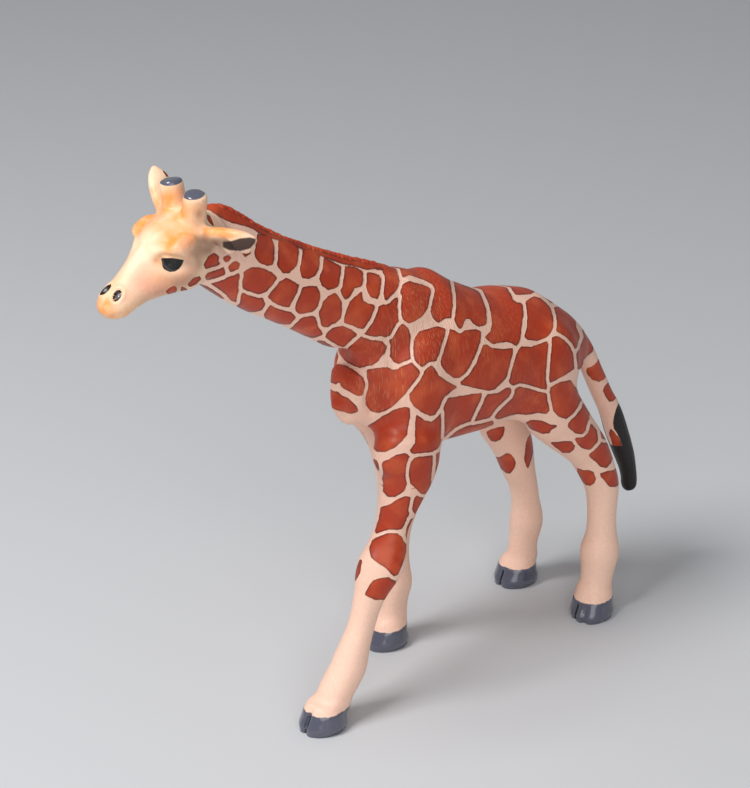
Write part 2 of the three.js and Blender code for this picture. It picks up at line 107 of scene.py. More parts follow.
SLOTS = {
    Piece.TORSO: Slot.COAT,
    Piece.NECK: Slot.COAT,
    Piece.HEAD: Slot.HEAD,
    Piece.EAR_LEFT: Slot.HEAD,
    Piece.EAR_RIGHT: Slot.HEAD,
    Piece.FRONT_LEFT: Slot.LEG,
    Piece.FRONT_RIGHT: Slot.LEG,
    Piece.HIND_LEFT: Slot.LEG,
    Piece.HIND_RIGHT: Slot.LEG,
    Piece.TAIL: Slot.TAIL,
}


def paint(red: int, green: int, blue: int) -> Colour:
    """Turns a display colour into linear light, by the sRGB curve.

    Args:
        red: red, from 0 to 255.
        green: green, from 0 to 255.
        blue: blue, from 0 to 255.

    Returns:
        The colour for a shader socket.
    """

    def linear(value: int) -> float:
        """One channel of it."""
        share = value / 255
        return share / 12.92 if share <= 0.04045 else ((share + 0.055) / 1.055) ** 2.4

    return (linear(red), linear(green), linear(blue), 1.0)


def unit(vector: Iterable[float]) -> Array:
    """Scales a vector to length one."""
    values = np.asarray(vector, float)
    return values / np.linalg.norm(values)


def edges_of(mesh: bpy.types.Mesh) -> Array:
    """Reads the ends of a mesh's edges."""
    ends = np.empty(len(mesh.edges) * 2, np.int32)
    mesh.edges.foreach_get("vertices", ends)
    return ends.reshape(-1, 2)


def linked(name: str, data: bpy.types.ID) -> bpy.types.Object:
    """Makes an object and puts it in the scene."""
    made = bpy.data.objects.new(name, data)
    bpy.context.scene.collection.objects.link(made)
    return made


def modified(carrier: bpy.types.Object) -> bpy.types.Mesh:
    """Makes a plain mesh of an object as its modifiers leave it."""
    graph = bpy.context.evaluated_depsgraph_get()
    return bpy.data.meshes.new_from_object(carrier.evaluated_get(graph))


def fade(values: Array, start: float, end: float) -> Array:
    """Rises smoothly from 0 at start to 1 at end."""
    share = np.clip((values - start) / (end - start), 0, 1)
    return share * share * (3 - 2 * share)


def bell(away: Array, width: float) -> Array:
    """Falls off smoothly from 1 with the distance."""
    return np.exp(-(away / width) ** 2)


@dataclass(frozen=True)
class PhotoCamera:
    """The assumed camera of the photo, with its target in the calf's frame."""

    azimuth: float = math.radians(50)
    elevation: float = math.radians(25)
    distance: float = 440.0
    target: Place = (-15.0, 0.0, 39.2)
    focal: float = 2800.0
    middle: Pixel = (375.0, 394.0)
    long_side: float = 788.0
    sensor: float = 36.0

    @property
    def back(self) -> Array:
        """The direction from the target to the camera."""
        level = math.cos(self.elevation)
        return np.array((
            math.sin(self.azimuth) * level,
            -math.cos(self.azimuth) * level,
            math.sin(self.elevation),
        ))

    @property
    def right(self) -> Array:
        """The direction that points right in the photo."""
        return np.array((math.cos(self.azimuth), math.sin(self.azimuth), 0.0))

    @property
    def up(self) -> Array:
        """The direction that points up in the photo."""
        return np.cross(self.back, self.right)

    @property
    def place(self) -> Array:
        """Where the camera stands."""
        return np.asarray(self.target) + self.back * self.distance

    def ray(self, pixel: Pixel) -> Array:
        """The direction that a pixel looks in."""
        across = pixel[0] - self.middle[0]
        down = pixel[1] - self.middle[1]
        return unit(-self.back * self.focal + self.right * across - self.up * down)

    def project(self, points: Array) -> tuple[Array, Array]:
        """Finds the pixels of points, and how many pixels a millimetre takes there."""
        away = points - self.place
        depth = -(away @ self.back)
        scale = self.focal / depth
        return np.column_stack((
            self.middle[0] + scale * (away @ self.right),
            self.middle[1] - scale * (away @ self.up),
        )), scale


PHOTO = PhotoCamera()


@dataclass(frozen=True)
class Seam:
    """A plane where an outer piece meets an inner one. The outward side is the outer one's."""

    outer: Piece
    place: Place
    outward: Place
    reach: float

    def beyond(self, points: Array) -> Array:
        """Tells which points lie on the outward side."""
        return (points - self.place) @ unit(self.outward) > 0


FRONT_SEAM_HEIGHT = 36.2
HIND_SEAM_HEIGHT = 34.8
LEG_SEAM_REACH = 7.0
EAR_SEAM_REACH = 2.6
TRUNK_MIDDLE = 5.2

# The far ear is the right one. The photo hides where it opens.
FAR_EAR_SEAT: Place = (-4.94, -46.16, 85.07)
FAR_EAR_ALONG: Place = (-0.7, 0.21, 0.68)
FAR_EAR_OPENS: Place = (-0.69, -0.35, -0.6)


def tilted_seam(outer: Piece, place: Place, degrees_down: float, reach: float) -> Seam:
    """A seam whose outward side looks forward, tilted down by an angle."""
    angle = math.radians(degrees_down)
    return Seam(outer, place, (0.0, -math.cos(angle), -math.sin(angle)), reach)


def level_seam(outer: Piece, across: float, along: float, height: float) -> Seam:
    """A level seam on top of a leg."""
    return Seam(outer, (across, along, height), (0.0, 0.0, -1.0), LEG_SEAM_REACH)


def far_ear_axes() -> tuple[Array, Array, Array]:
    """The directions of the far ear's length, its width and its opening."""
    along, facing = unit(FAR_EAR_ALONG), unit(FAR_EAR_OPENS)
    return along, np.cross(along, facing), facing


SEAMS = (
    tilted_seam(Piece.NECK, (0.0, -16.52, 63.3), -32, 14),
    tilted_seam(Piece.HEAD, (0.0, -44.83, 80.41), -10, 9),
    Seam(Piece.TAIL, (0.0, 31.6, 40.8), (0.0, 0.45, -0.89), 2.9),
    Seam(Piece.EAR_LEFT, (5.37, -45.67, 83.77), (0.9, 0.44, 0.09), EAR_SEAM_REACH),
    Seam(Piece.EAR_RIGHT, FAR_EAR_SEAT, FAR_EAR_ALONG, EAR_SEAM_REACH),
    level_seam(Piece.FRONT_LEFT, 6.0, -12.59, FRONT_SEAM_HEIGHT),
    level_seam(Piece.FRONT_RIGHT, -5.91, -4.14, FRONT_SEAM_HEIGHT),
    level_seam(Piece.HIND_LEFT, 6.08, 20.84, HIND_SEAM_HEIGHT),
    level_seam(Piece.HIND_RIGHT, -6.19, 18.22, HIND_SEAM_HEIGHT),
)

# A softened spot: its full and its last share of the radius, and the step of each round.
SOFT_CORE = 0.35
SOFT_RIM = 0.95
SOFT_STEP = 0.6
BLUR_STEP = 0.5


@dataclass
class Skin:
    """A closed surface of quads and triangles, with the work that is done on all of it."""

    points: Array
    faces: list[tuple[int, ...]]
    edges: Array
    normals: Array
    hubs: int = 0

    @classmethod
    def of(cls, mesh: bpy.types.Mesh) -> "Skin":
        """Reads a mesh."""
        points = np.empty(len(mesh.vertices) * 3)
        mesh.vertices.foreach_get("co", points)
        faces = [tuple(face.vertices) for face in mesh.polygons]
        skin = cls(points.reshape(-1, 3), faces, edges_of(mesh), np.zeros((0, 3)))
        skin.renew_normals()
        return skin

    def renew_normals(self) -> None:
        """Finds the normals again after the points have moved."""
        corners = np.array([face if len(face) == 4 else (*face, face[2]) for face in self.faces])
        one = self.points[corners[:, 2]] - self.points[corners[:, 0]]
        other = self.points[corners[:, 3]] - self.points[corners[:, 1]]
        flat = np.cross(one, other)
        total = np.zeros_like(self.points)
        for corner in range(4):
            for axis in range(3):
                total[:, axis] += np.bincount(
                    corners[:, corner], weights=flat[:, axis], minlength=len(self.points),
                )
        self.normals = total / np.maximum(np.linalg.norm(total, axis=1, keepdims=True), TINY)

    def _mean_step(self, values: Array) -> Array:
        """How far the mean of each point's neighbours lies from its own value."""
        count = len(self.points)
        start, end = self.edges[:, 0], self.edges[:, 1]
        share = np.bincount(start, minlength=count) + np.bincount(end, minlength=count)
        wide = values.reshape(count, -1)
        total = np.empty_like(wide)
        for axis in range(wide.shape[1]):
            total[:, axis] = np.bincount(start, weights=wide[end, axis], minlength=count)
            total[:, axis] += np.bincount(end, weights=wide[start, axis], minlength=count)
        return (total / np.maximum(share, 1)[:, None] - wide).reshape(values.shape)

    def smooth(self, rounds: int, weights: Array, step: float) -> None:
        """Moves the points towards the mean of their neighbours, round after round."""
        for _ in range(rounds):
            self.points += step * weights[:, None] * self._mean_step(self.points)
        self.renew_normals()

    def blur(self, values: Array, rounds: int) -> Array:
        """Spreads a value over the surface."""
        result = values.copy()
        for _ in range(rounds):
            result += BLUR_STEP * self._mean_step(result)
        return result

    def soften(self, place: Array, radius: float, rounds: int) -> None:
        """Smooths the skin round a place, less and less towards the radius."""
        chosen = np.nonzero(np.linalg.norm(self.points - place, axis=1) < radius)[0]
        fresh = np.full(len(self.points), -1)
        fresh[chosen] = np.arange(len(chosen))
        near = fresh[self.edges]
        near = near[(near >= 0).all(axis=1)]
        part = Skin(self.points[chosen], [], near, np.zeros((0, 3)))
        away = np.linalg.norm(part.points - place, axis=1)
        weights = 1 - fade(away, SOFT_CORE * radius, SOFT_RIM * radius)
        for _ in range(rounds):
            part.points += SOFT_STEP * weights[:, None] * part._mean_step(part.points)
        self.points[chosen] = part.points
        self.renew_normals()

    def push(self, heights: Array) -> None:
        """Moves the points along their normals."""
        self.points += heights[:, None] * self.normals
        self.renew_normals()

    def tree(self) -> BVHTree:
        """A search tree of the surface."""
        return BVHTree.FromPolygons([tuple(point) for point in self.points], self.faces)

    def mesh(self, name: str) -> bpy.types.Mesh:
        """Makes a mesh of the surface."""
        made = bpy.data.meshes.new(name)
        made.from_pydata(self.points.tolist(), [], self.faces)
        return made


@dataclass(frozen=True)
class EarPlate:
    """A thin plate in the far ear that closes the gap its bowl leaves in the rim."""

    middle: float = 2.6
    half_length: float = 3.7
    half_width: float = 2.05
    half_thickness: float = 0.8
    lift: float = 0.25
    subdivisions: int = 3

    def add_to(self, whole: bmesh.types.BMesh) -> None:
        """Adds the plate as a ball that is turned and sized."""
        along, across, facing = far_ear_axes()
        turned = np.eye(4)
        turned[:3, 0] = along * self.half_length
        turned[:3, 1] = across * self.half_width
        turned[:3, 2] = facing * self.half_thickness
        turned[:3, 3] = FAR_EAR_SEAT + along * self.middle + facing * self.lift
        bmesh.ops.create_icosphere(
            whole, subdivisions=self.subdivisions, radius=1.0, matrix=Matrix(turned.tolist()),
        )


@dataclass(frozen=True)
class Remesher:
    """How the CAD pieces become one skin."""

    swelling: float = 0.17
    voxel: float = 0.25
    weld: float = 1e-6

    def merged(self, nodes: Iterable[bpy.types.Object]) -> Skin:
        """Merges the pieces into one skin without their inner joints.

        Args:
            nodes: the CAD objects, which stay as they are.

        Returns:
            The outer skin, in the calf's frame.
        """
        whole = bmesh.new()
        for node in nodes:
            part = bmesh.new()
            part.from_mesh(node.data)
            bmesh.ops.remove_doubles(part, verts=part.verts, dist=self.weld)
            copy = bpy.data.meshes.new("copy")
            part.to_mesh(copy)
            part.free()
            whole.from_mesh(copy)
            bpy.data.meshes.remove(copy)
        for vertex in whole.verts:
            vertex.co = Vector(np.array(vertex.co) / METRES - CALF_ZERO)
        EarPlate().add_to(whole)
        whole.normal_update()
        shifts = [vertex.normal * self.swelling for vertex in whole.verts]
        for vertex, shift in zip(whole.verts, shifts):
            vertex.co += shift
        rough = bpy.data.meshes.new("rough")
        whole.to_mesh(rough)
        whole.free()
        carrier = linked("rough", rough)
        modifier = carrier.modifiers.new("skin", "REMESH")
        modifier.mode = "VOXEL"
        modifier.voxel_size = self.voxel
        modifier.adaptivity = 0.0
        fine = modified(carrier)
        bpy.data.objects.remove(carrier)
        bpy.data.meshes.remove(rough)
        skin = Skin.of(self._outer_shell(fine))
        skin.points -= self.swelling * skin.normals
        skin.renew_normals()
        return skin

    @staticmethod
    def _outer_shell(mesh: bpy.types.Mesh) -> bpy.types.Mesh:
        """Keeps the largest connected part of a mesh."""
        start, end = edges_of(mesh).T
        label = np.arange(len(mesh.vertices))
        while True:
            lowest = np.minimum(label[start], label[end])
            fresh = label.copy()
            np.minimum.at(fresh, start, lowest)
            np.minimum.at(fresh, end, lowest)
            fresh = fresh[fresh]
            if np.array_equal(fresh, label):
                break
            label = fresh
        names, sizes = np.unique(label, return_counts=True)
        LOG.info("parts of the remeshed skin: %s", sorted(sizes.tolist(), reverse=True))
        keep = label == names[np.argmax(sizes)]
        shell = bmesh.new()
        shell.from_mesh(mesh)
        shell.verts.ensure_lookup_table()
        lost = [vertex for vertex in shell.verts if not keep[vertex.index]]
        bmesh.ops.delete(shell, geom=lost, context="VERTS")
        shell.to_mesh(mesh)
        shell.free()
        return mesh


# Where a zone's effect ends, in shares of its radius.
ZONE_RIM = 1.5


@dataclass(frozen=True)
class Zone:
    """A ball in which the skin is smoothed less."""

    place: Place
    radius: float
    share: float

    def weight(self, points: Array) -> Array:
        """How much the points are smoothed."""
        away = np.linalg.norm(points - self.place, axis=1)
        return self.share + (1 - self.share) * fade(away, self.radius, ZONE_RIM * self.radius)


# The ears, the horns, the muzzle, the face, the hooves and the tail's tip.
DETAIL_ZONES = (
    Zone((8.5, -44.0, 84.0), 5.2, 0.16),
    Zone((-7.0, -45.5, 87.0), 5.2, 0.16),
    Zone((3.0, -46.6, 88.0), 3.2, 0.2),
    Zone((-3.0, -46.6, 88.2), 3.2, 0.2),
    Zone((0.0, -58.0, 77.5), 4.5, 0.4),
    Zone((0.0, -50.0, 81.0), 6.0, 0.5),
    Zone((6.9, -28.7, 2.0), 5.0, 0.25),
    Zone((-6.4, -4.6, 2.0), 5.0, 0.25),
    Zone((7.9, 27.1, 2.0), 5.0, 0.25),
    Zone((-8.4, 25.4, 2.0), 5.0, 0.25),
    Zone((0.0, 43.0, 20.0), 8.0, 0.4),
)


@dataclass(frozen=True)
class Smoothing:
    """How much the skin is smoothed, and in which shares its lost thickness comes back."""

    rounds: int = 70
    step: float = 0.5
    returns: tuple[tuple[float, int], ...] = ((1.0, 160), (0.6, 120))

    def apply(self, skin: Skin) -> None:
        """Rounds the CAD's facets and the creases between its masses."""
        weights = np.ones(len(skin.points))
        for zone in DETAIL_ZONES:
            weights = np.minimum(weights, zone.weight(skin.points))
        before = skin.points.copy()
        skin.smooth(self.rounds, weights, self.step)
        for share, rounds in self.returns:
            lost = ((before - skin.points) * skin.normals).sum(axis=1)
            skin.push(share * skin.blur(lost, rounds))


def near_line(points: Array, corners: Array) -> Array:
    """Finds how far points lie from a line through some corners."""
    away = np.full(len(points), np.inf)
    for start, end in zip(corners[:-1], corners[1:]):
        side = end - start
        push = points - start
        share = np.clip(push @ side / (side @ side), 0, 1)
        away = np.minimum(away, np.linalg.norm(push - share[:, None] * side, axis=1))
    return away


TAIL_LINE = np.array((
    (0.0, 31.0, 42.2), (0.0, 32.3, 39.98), (0.0, 35.26, 34.11), (0.0, 37.13, 30.86),
    (0.0, 38.74, 26.71), (0.0, 40.98, 21.36), (0.0, 42.18, 17.51), (0.0, 42.48, 14.44),
))
TAIL_REACH = 2.6
EAR_LENGTH = 8.0
EAR_REACH = 2.05
EAR_DROP = 0.95

# The neck, the head and the ears lie beyond these, along and across.
NECK_BEFORE = -8.0
HEAD_BEFORE = -40.0
EARS_BESIDE = 3.2


def part_of(points: Array) -> Array:
    """Names the piece that each point lies in, by the seams.

    Args:
        points: places in the calf's frame, none of them on a seam.

    Returns:
        An index into the pieces for each point.
    """
    seams = {seam.outer: seam for seam in SEAMS}
    along, height = points[:, 1], points[:, 2]
    front, left = along < TRUNK_MIDDLE, points[:, 0] > 0
    low_front = front & (height < FRONT_SEAM_HEIGHT)
    low_hind = ~front & (height < HIND_SEAM_HEIGHT)
    inside = {
        Piece.NECK: seams[Piece.NECK].beyond(points) & (along < NECK_BEFORE),
        Piece.HEAD: seams[Piece.HEAD].beyond(points) & (along < HEAD_BEFORE),
        Piece.FRONT_LEFT: low_front & left,
        Piece.FRONT_RIGHT: low_front & ~left,
        Piece.HIND_LEFT: low_hind & left,
        Piece.HIND_RIGHT: low_hind & ~left,
        Piece.TAIL: seams[Piece.TAIL].beyond(points) & (near_line(points, TAIL_LINE) < TAIL_REACH),
    }
    for piece, side in ((Piece.EAR_LEFT, 1), (Piece.EAR_RIGHT, -1)):
        seam = seams[piece]
        axis = np.array((seam.place, seam.place + EAR_LENGTH * unit(seam.outward)))
        lifted = points + EAR_DROP * (side > 0) * PHOTO.up
        near = np.minimum(near_line(points, axis), near_line(lifted, axis)) < EAR_REACH
        inside[piece] = seam.beyond(points) & near & (side * points[:, 0] > EARS_BESIDE)
    order = list(Piece)
    index = np.full(len(points), order.index(Piece.TORSO))
    for piece, chosen in inside.items():
        index[chosen] = order.index(piece)
    return index


# How far round a seam faces are cut, and how near a point counts as on it.
SEAM_MARGIN = 1.0
SEAM_WELD = 1e-4


def parted(skin: Skin) -> dict[Piece, Skin]:
    """Cuts the skin along the seams into closed pieces.

    Args:
        skin: the whole skin.

    Returns:
        A closed skin for each piece. Neighbours share the points along their seam.
    """
    mesh = skin.mesh("whole")
    whole = bmesh.new()
    whole.from_mesh(mesh)
    bpy.data.meshes.remove(mesh)
    for seam in SEAMS:
        place, outward = Vector(seam.place), Vector(seam.outward).normalized()
        near = [
            face for face in whole.faces
            if (face.verts[0].co - place).length < seam.reach + SEAM_MARGIN
            and abs((face.verts[0].co - place).dot(outward)) < SEAM_MARGIN
        ]
        geometry = set(near)
        for face in near:
            geometry.update(face.edges)
            geometry.update(face.verts)
        bmesh.ops.bisect_plane(
            whole, geom=list(geometry), dist=SEAM_WELD, plane_co=place, plane_no=outward,
        )
    many = [face for face in whole.faces if len(face.verts) > 4]
    bmesh.ops.triangulate(whole, faces=many)
    whole.verts.index_update()
    points = np.array([tuple(vertex.co) for vertex in whole.verts])
    faces = [tuple(vertex.index for vertex in face.verts) for face in whole.faces]
    whole.free()
    middles = np.array([points[list(face)].mean(axis=0) for face in faces])
    names = part_of(middles)
    return {
        piece: capped(points, [faces[k] for k in np.nonzero(names == index)[0]])
        for index, piece in enumerate(Piece)
    }


# How deep the dishes are that close the pieces at their seams.
CAP_DISH = 0.08


def capped(points: Array, faces: Sequence[tuple[int, ...]]) -> Skin:
    """Closes the open loops of some faces with shallow dishes.

    Args:
        points: the points that the faces share.
        faces: the faces of one piece.

    Returns:
        The closed skin of the piece, with its own points.
    """
    seen = {pair for face in faces for pair in zip(face, face[1:] + face[:1])}
    step = {end: start for start, end in seen if (end, start) not in seen}
    used = sorted({corner for face in faces for corner in face})
    fresh = {old: new for new, old in enumerate(used)}
    kept = [points[old] for old in used]
    closed = [tuple(fresh[corner] for corner in face) for face in faces]
    while step:
        first, following = step.popitem()
        loop = [first]
        while following != first:
            loop.append(following)
            following = step.pop(following)
        ring = points[loop]
        middle = ring.mean(axis=0)
        out = np.cross(ring - middle, np.roll(ring, -1, axis=0) - middle).sum(axis=0)
        kept.append(middle - CAP_DISH * unit(out))
        hub = len(kept) - 1
        closed.extend(
            (fresh[start], fresh[end], hub) for start, end in zip(loop, loop[1:] + loop[:1])
        )
    whole = bpy.data.meshes.new("part")
    whole.from_pydata([tuple(point) for point in kept], [], closed)
    skin = Skin.of(whole)
    skin.hubs = len(kept) - len(used)
    bpy.data.meshes.remove(whole)
    return skin


# How much the skin has to face the camera to be found beside the calf's outline.
SIGHT_MARGIN = 0.1


class Sight:
    """The skin as the photo's camera sees it."""

    def __init__(self, skin: Skin) -> None:
        self.tree = skin.tree()
        facing = skin.normals @ PHOTO.back > SIGHT_MARGIN
        self.points = skin.points[facing]
        self.normals = skin.normals[facing]
        self.pixels = PHOTO.project(self.points)[0]

    def hit(self, pixel: Pixel) -> tuple[Array, Array]:
        """Finds what a pixel shows, or for one beside the calf, the nearest skin in the photo.

        Args:
            pixel: a place in the photo.

        Returns:
            The place on the skin and the normal there.
        """
        place, normal, _, _ = self.tree.ray_cast(Vector(PHOTO.place), Vector(PHOTO.ray(pixel)))
        if place is None:
            nearest = ((self.pixels - pixel) ** 2).sum(axis=1).argmin()
            return self.points[nearest], self.normals[nearest]
        return np.array(place), np.array(normal)


Outline = tuple[Pixel, ...]


def traced(text: str) -> tuple[Outline, ...]:
    """Reads outlines that were traced on the photo.

    Args:
        text: corners as "across,down" in pixels, with a semicolon after each outline.

    Returns:
        The outlines.
    """
    return tuple(
        tuple(tuple(float(number) for number in corner.split(",")) for corner in outline.split())
        for outline in text.split(";") if outline.strip()
    )


def traced_line(text: str) -> Array:
    """Reads the corners of one line."""
    return np.array(traced(text)[0])


# The red-brown patches.
MANE = traced("""
    209,203 220,205 235,212 250,219 262,229 275,235 290,240 312,248 340,257 370,263 383,264
      383,268 367,270 356,267 342,264 325,258 312,252 298,247 285,241 272,239 258,233 253,229
      244,226 231,223 219,217 210,211;
""")
NECK_PATCHES = traced("""
    243,252 252,248 250,253 245,256;
    258,235 269,236 272,242 274,250 275,259 272,264 267,265 260,262 256,257 254,250 257,243;
    280,240 290,242 297,247 298,253 298,261 294,267 289,272 283,272 279,267 277,261 278,252;
    304,250 312,250 320,256 320,263 319,269 314,275 309,278 303,277 301,271 301,261;
    323,258 333,263 340,267 340,277 339,285 333,288 328,289 323,285 320,279 322,271;
    346,267 355,268 363,272 364,281 360,286 354,287 352,291 349,297 345,299 341,295 342,287
      344,277;
    366,273 374,274 382,277 382,283 379,293 377,298 371,296 368,291 366,282;
    383,264 395,266 399,276 399,285 392,294 389,301 386,301 384,291 384,277;
    239,274 241,277 239,285 237,294 236,301 232,300 224,292 212,284 220,282 229,278;
    253,268 262,269 271,273 276,278 273,285 267,290 258,294 249,291 242,287 241,281 243,274
      248,270;
    286,279 293,282 299,286 298,293 292,299 289,306 283,306 277,304 269,297 272,291 279,283;
    302,288 309,287 316,287 319,293 319,301 318,306 312,311 300,313 296,312 296,308 298,301
      300,293;
    334,294 339,296 341,302 341,311 340,318 334,323 328,326 322,326 320,318 320,311 323,303
      329,297;
    361,293 362,301 367,304 374,306 375,309 371,321 364,329 356,326 345,322 345,318 348,309
      351,301 356,297;
    379,307 387,304 390,300 399,297 400,317 397,325 391,337 387,337 381,335 373,336 365,334
      368,328 373,319 377,311;
    200,285 209,288 217,293 223,298 220,297 211,292;
    243,294 250,296 262,299 264,304 263,309 256,311 247,311 238,306 241,304 241,297;
    271,306 280,310 294,314 295,319 290,324 280,323 268,320 265,316 266,311;
    313,317 316,319 318,327 322,334 317,336 312,337 300,333 291,329 296,323 304,318;
    333,328 343,327 352,331 357,336 352,342 343,346 338,346 330,342 326,336 329,332;
    318,341 329,343 336,348 342,352 346,353 343,357 338,356 328,347;
    361,337 373,341 387,343 391,345 389,352 382,354 378,360 371,365 360,367 351,364 342,357
      347,350 353,341;
""")
CHEEK_PATCHES = traced("""
    214,254 218,257 219,261 222,263 218,266 211,268 206,268 205,264 209,257;
    222,262 224,258 228,256 230,258 227,262;
    227,268 230,265 236,262 239,264 238,268 233,271 229,271;
    210,272 217,269 224,267 226,271 223,275 214,278 207,279 206,277 208,274;
    208,216 212,218 214,225 212,224 208,219;
    221,222 227,224 228,226 222,226;
    189,284 194,279 199,277 200,279 196,283 190,286;
    167,292 171,288 174,287 177,289 176,291 170,294;
    180,290 182,288 185,289 187,291 182,292;
""")
TRUNK_PATCHES = traced("""
    399,267 415,267 430,268 439,271 448,277 451,285 453,296 453,308 451,317 444,318 438,322
      434,318 431,311 433,304 434,297 436,290 433,284 426,280 418,277 409,274 402,277;
    402,285 410,282 416,284 424,286 430,289 430,295 428,301 427,308 422,315 415,320 408,323
      405,321 400,317 399,306 401,297;
    453,281 459,284 466,287 474,290 479,293 482,300 485,309 486,318 485,324 479,326 474,323
      470,318 465,318 462,325 460,331 458,326 455,319 455,311 456,302 455,292;
    482,289 491,288 500,287 507,288 510,293 512,300 516,303 523,304 523,311 521,324 520,336
      517,346 512,342 506,341 498,342 491,344 486,337 491,332 493,325 492,315 490,305 486,296;
    510,286 518,285 527,286 534,291 531,293 520,294 516,294 512,290;
    525,303 529,300 534,297 540,299 546,303 550,309 553,317 553,325 550,332 545,338 538,340
      528,339 525,336 527,331 528,324 528,315 526,308;
    541,290 547,295 554,302 550,302 544,296;
    555,308 560,307 568,314 575,321 575,326 578,334 580,340 578,348 575,350 571,343 566,338
      560,334 557,330 557,320;
    398,326 403,324 408,330 410,337 411,348 411,358 405,362 399,363 394,361 390,355 387,350
      387,343 391,337;
    420,332 427,330 437,327 446,330 445,337 442,346 440,354 436,360 428,362 422,366 417,362
      413,355 412,348 414,341 417,336;
    450,330 458,332 466,331 475,330 480,332 480,338 479,347 474,356 470,365 465,373 460,377
      454,377 447,372 442,365 441,358 444,348 447,338;
    482,346 489,345 493,349 503,350 512,349 512,356 510,367 508,375 502,381 495,388 490,390
      479,388 462,384 461,382 470,374 477,364 480,355;
    520,347 531,348 539,345 546,341 548,345 547,356 546,368 546,389 542,390 531,386 520,383
      512,385 510,382 510,373 513,363 518,353;
    553,338 559,336 565,340 571,347 573,356 574,366 573,369 565,374 556,379 550,382 549,378
      550,367 551,355 552,345;
    346,366 355,372 362,378 366,384 363,394 358,395 350,391 343,387 339,380 341,372;
    332,387 336,391 341,396 348,399 352,403 356,407 357,411 351,413 344,411 336,409 331,405
      330,400 331,393;
    368,370 378,369 387,368 393,371 398,370 404,365 411,363 416,368 420,373 417,379 410,388
      404,394 396,402 390,407 386,411 378,412 371,410 367,405 366,397 368,385;
    431,366 434,369 438,376 446,382 456,387 450,391 444,397 440,406 435,414 430,415 423,412
      415,406 411,400 410,394 414,388 420,380 425,371;
    445,404 448,399 460,397 472,395 481,394 480,402 476,411 471,422 463,425 455,428 448,434
      444,437 444,420 444,410;
    488,395 498,394 506,389 510,388 512,393 510,397 503,402 494,411 488,418 481,421 473,423
      475,418 479,409 484,401;
    515,390 520,387 529,388 543,392 547,396 549,403 549,410 546,413 538,412 526,414 517,413
      509,415 500,418 495,419 498,412 505,405 512,397;
    551,388 560,383 570,381 574,387 580,394 581,399 578,406 573,413 566,418 559,416 553,409
      550,400;
    449,438 455,432 462,427 471,424 485,422 494,421 492,424 483,428 471,433 460,436;
""")
FORELEG_PATCHES = traced("""
    399,409 405,408 409,409 409,417 407,427 406,434 402,440 394,447 385,451 378,451 372,446
      366,437 365,431 369,426 378,421 386,414 394,411;
    417,416 424,421 431,423 436,420 441,413 442,424 441,436 440,446 436,451 425,452 411,453
      411,450 416,443 416,436 416,424;
    374,460 379,463 381,473 378,470;
    381,463 388,461 396,456 404,454 410,456 409,463 407,471 406,483 404,490 396,496 388,496
      384,491 384,483 382,473;
    410,460 418,458 426,457 433,456 432,471 431,481 428,489 424,494 421,494 418,489 411,483
      408,476 408,464;
    436,453 441,450 444,443 444,459 439,473 434,479 436,464;
    381,508 391,505 399,499 406,497 410,498 409,511 406,521 401,528 394,530 385,531 377,534
      376,531 379,521 381,513;
    414,500 418,496 423,498 421,507 416,514 414,511 411,509;
    410,520 414,519 411,529 408,540 406,540 407,531;
    381,535 389,532 397,534 403,539 406,545 405,553 402,563 398,573 394,578 390,571 386,567
      378,562 372,557 370,549 373,541;
    370,586 374,581 381,579 388,578 394,579 396,579 394,587 390,594 384,599 375,599 369,596
      366,594 368,590;
    360,561 361,561 359,573 355,580 356,573 359,564;
""")
HINDLEG_PATCHES = traced("""
    527,423 531,421 538,421 543,422 549,425 556,426 551,429 549,432 543,433 538,431 533,429
      530,427;
    583,404 587,410 589,414 588,423 586,431 582,435 579,435 574,431 569,427 569,424 572,420
      578,414 582,408;
    590,423 593,427 596,431 598,437 597,442 592,448 588,449 582,447 577,442 576,439 578,437
      584,436 588,432 589,427;
    552,443 557,443 564,442 571,442 574,446 573,449 569,452 563,452 558,448 554,445;
    602,442 606,443 610,447 612,452 612,458 610,463 606,467 601,466 596,461 591,457 590,455
      594,451 599,446;
    578,469 583,471 589,471 593,473 595,478 594,482 590,485 586,484 582,480 579,475;
    601,474 608,472 614,471 618,467 620,469 621,476 620,482 616,486 610,486 606,481 602,477;
    601,432 604,433 607,439 604,440 601,437;
""")
FAR_HINDLEG_PATCHES = traced("""
    486,432 491,429 499,427 504,426 505,429 503,436 500,440 496,442 491,441 488,437;
    528,437 530,434 532,435 534,440 534,448 533,453 531,461 528,469 526,466 524,459 525,451
      526,442;
    496,457 500,457 507,453 511,454 514,458 516,463 514,469 510,474 506,473 501,469 498,463;
""")
TAIL_PATCHES = traced("""
    583,330 589,334 593,347 592,351 588,354 583,359 582,364 580,369 578,368 577,359 577,352
      579,347 581,341 585,338;
    588,368 592,363 598,360 601,362 604,369 607,374 603,379 599,381 593,379 589,375 587,371;
    610,382 612,384 614,391 616,397 613,400 610,401 607,397 604,391 605,387;
    611,430 613,432 618,438 620,443 622,449 624,457 623,466 621,463 617,457 614,448 612,439
      610,433;
""")
TUFT = traced("""
    619,402 622,406 624,411 628,418 631,424 633,433 640,450 642,470 640,490 633,496 626,494
      622,480 623,473 624,464 624,453 622,446 620,440 617,433 614,429 613,423 614,416 616,409;
""")

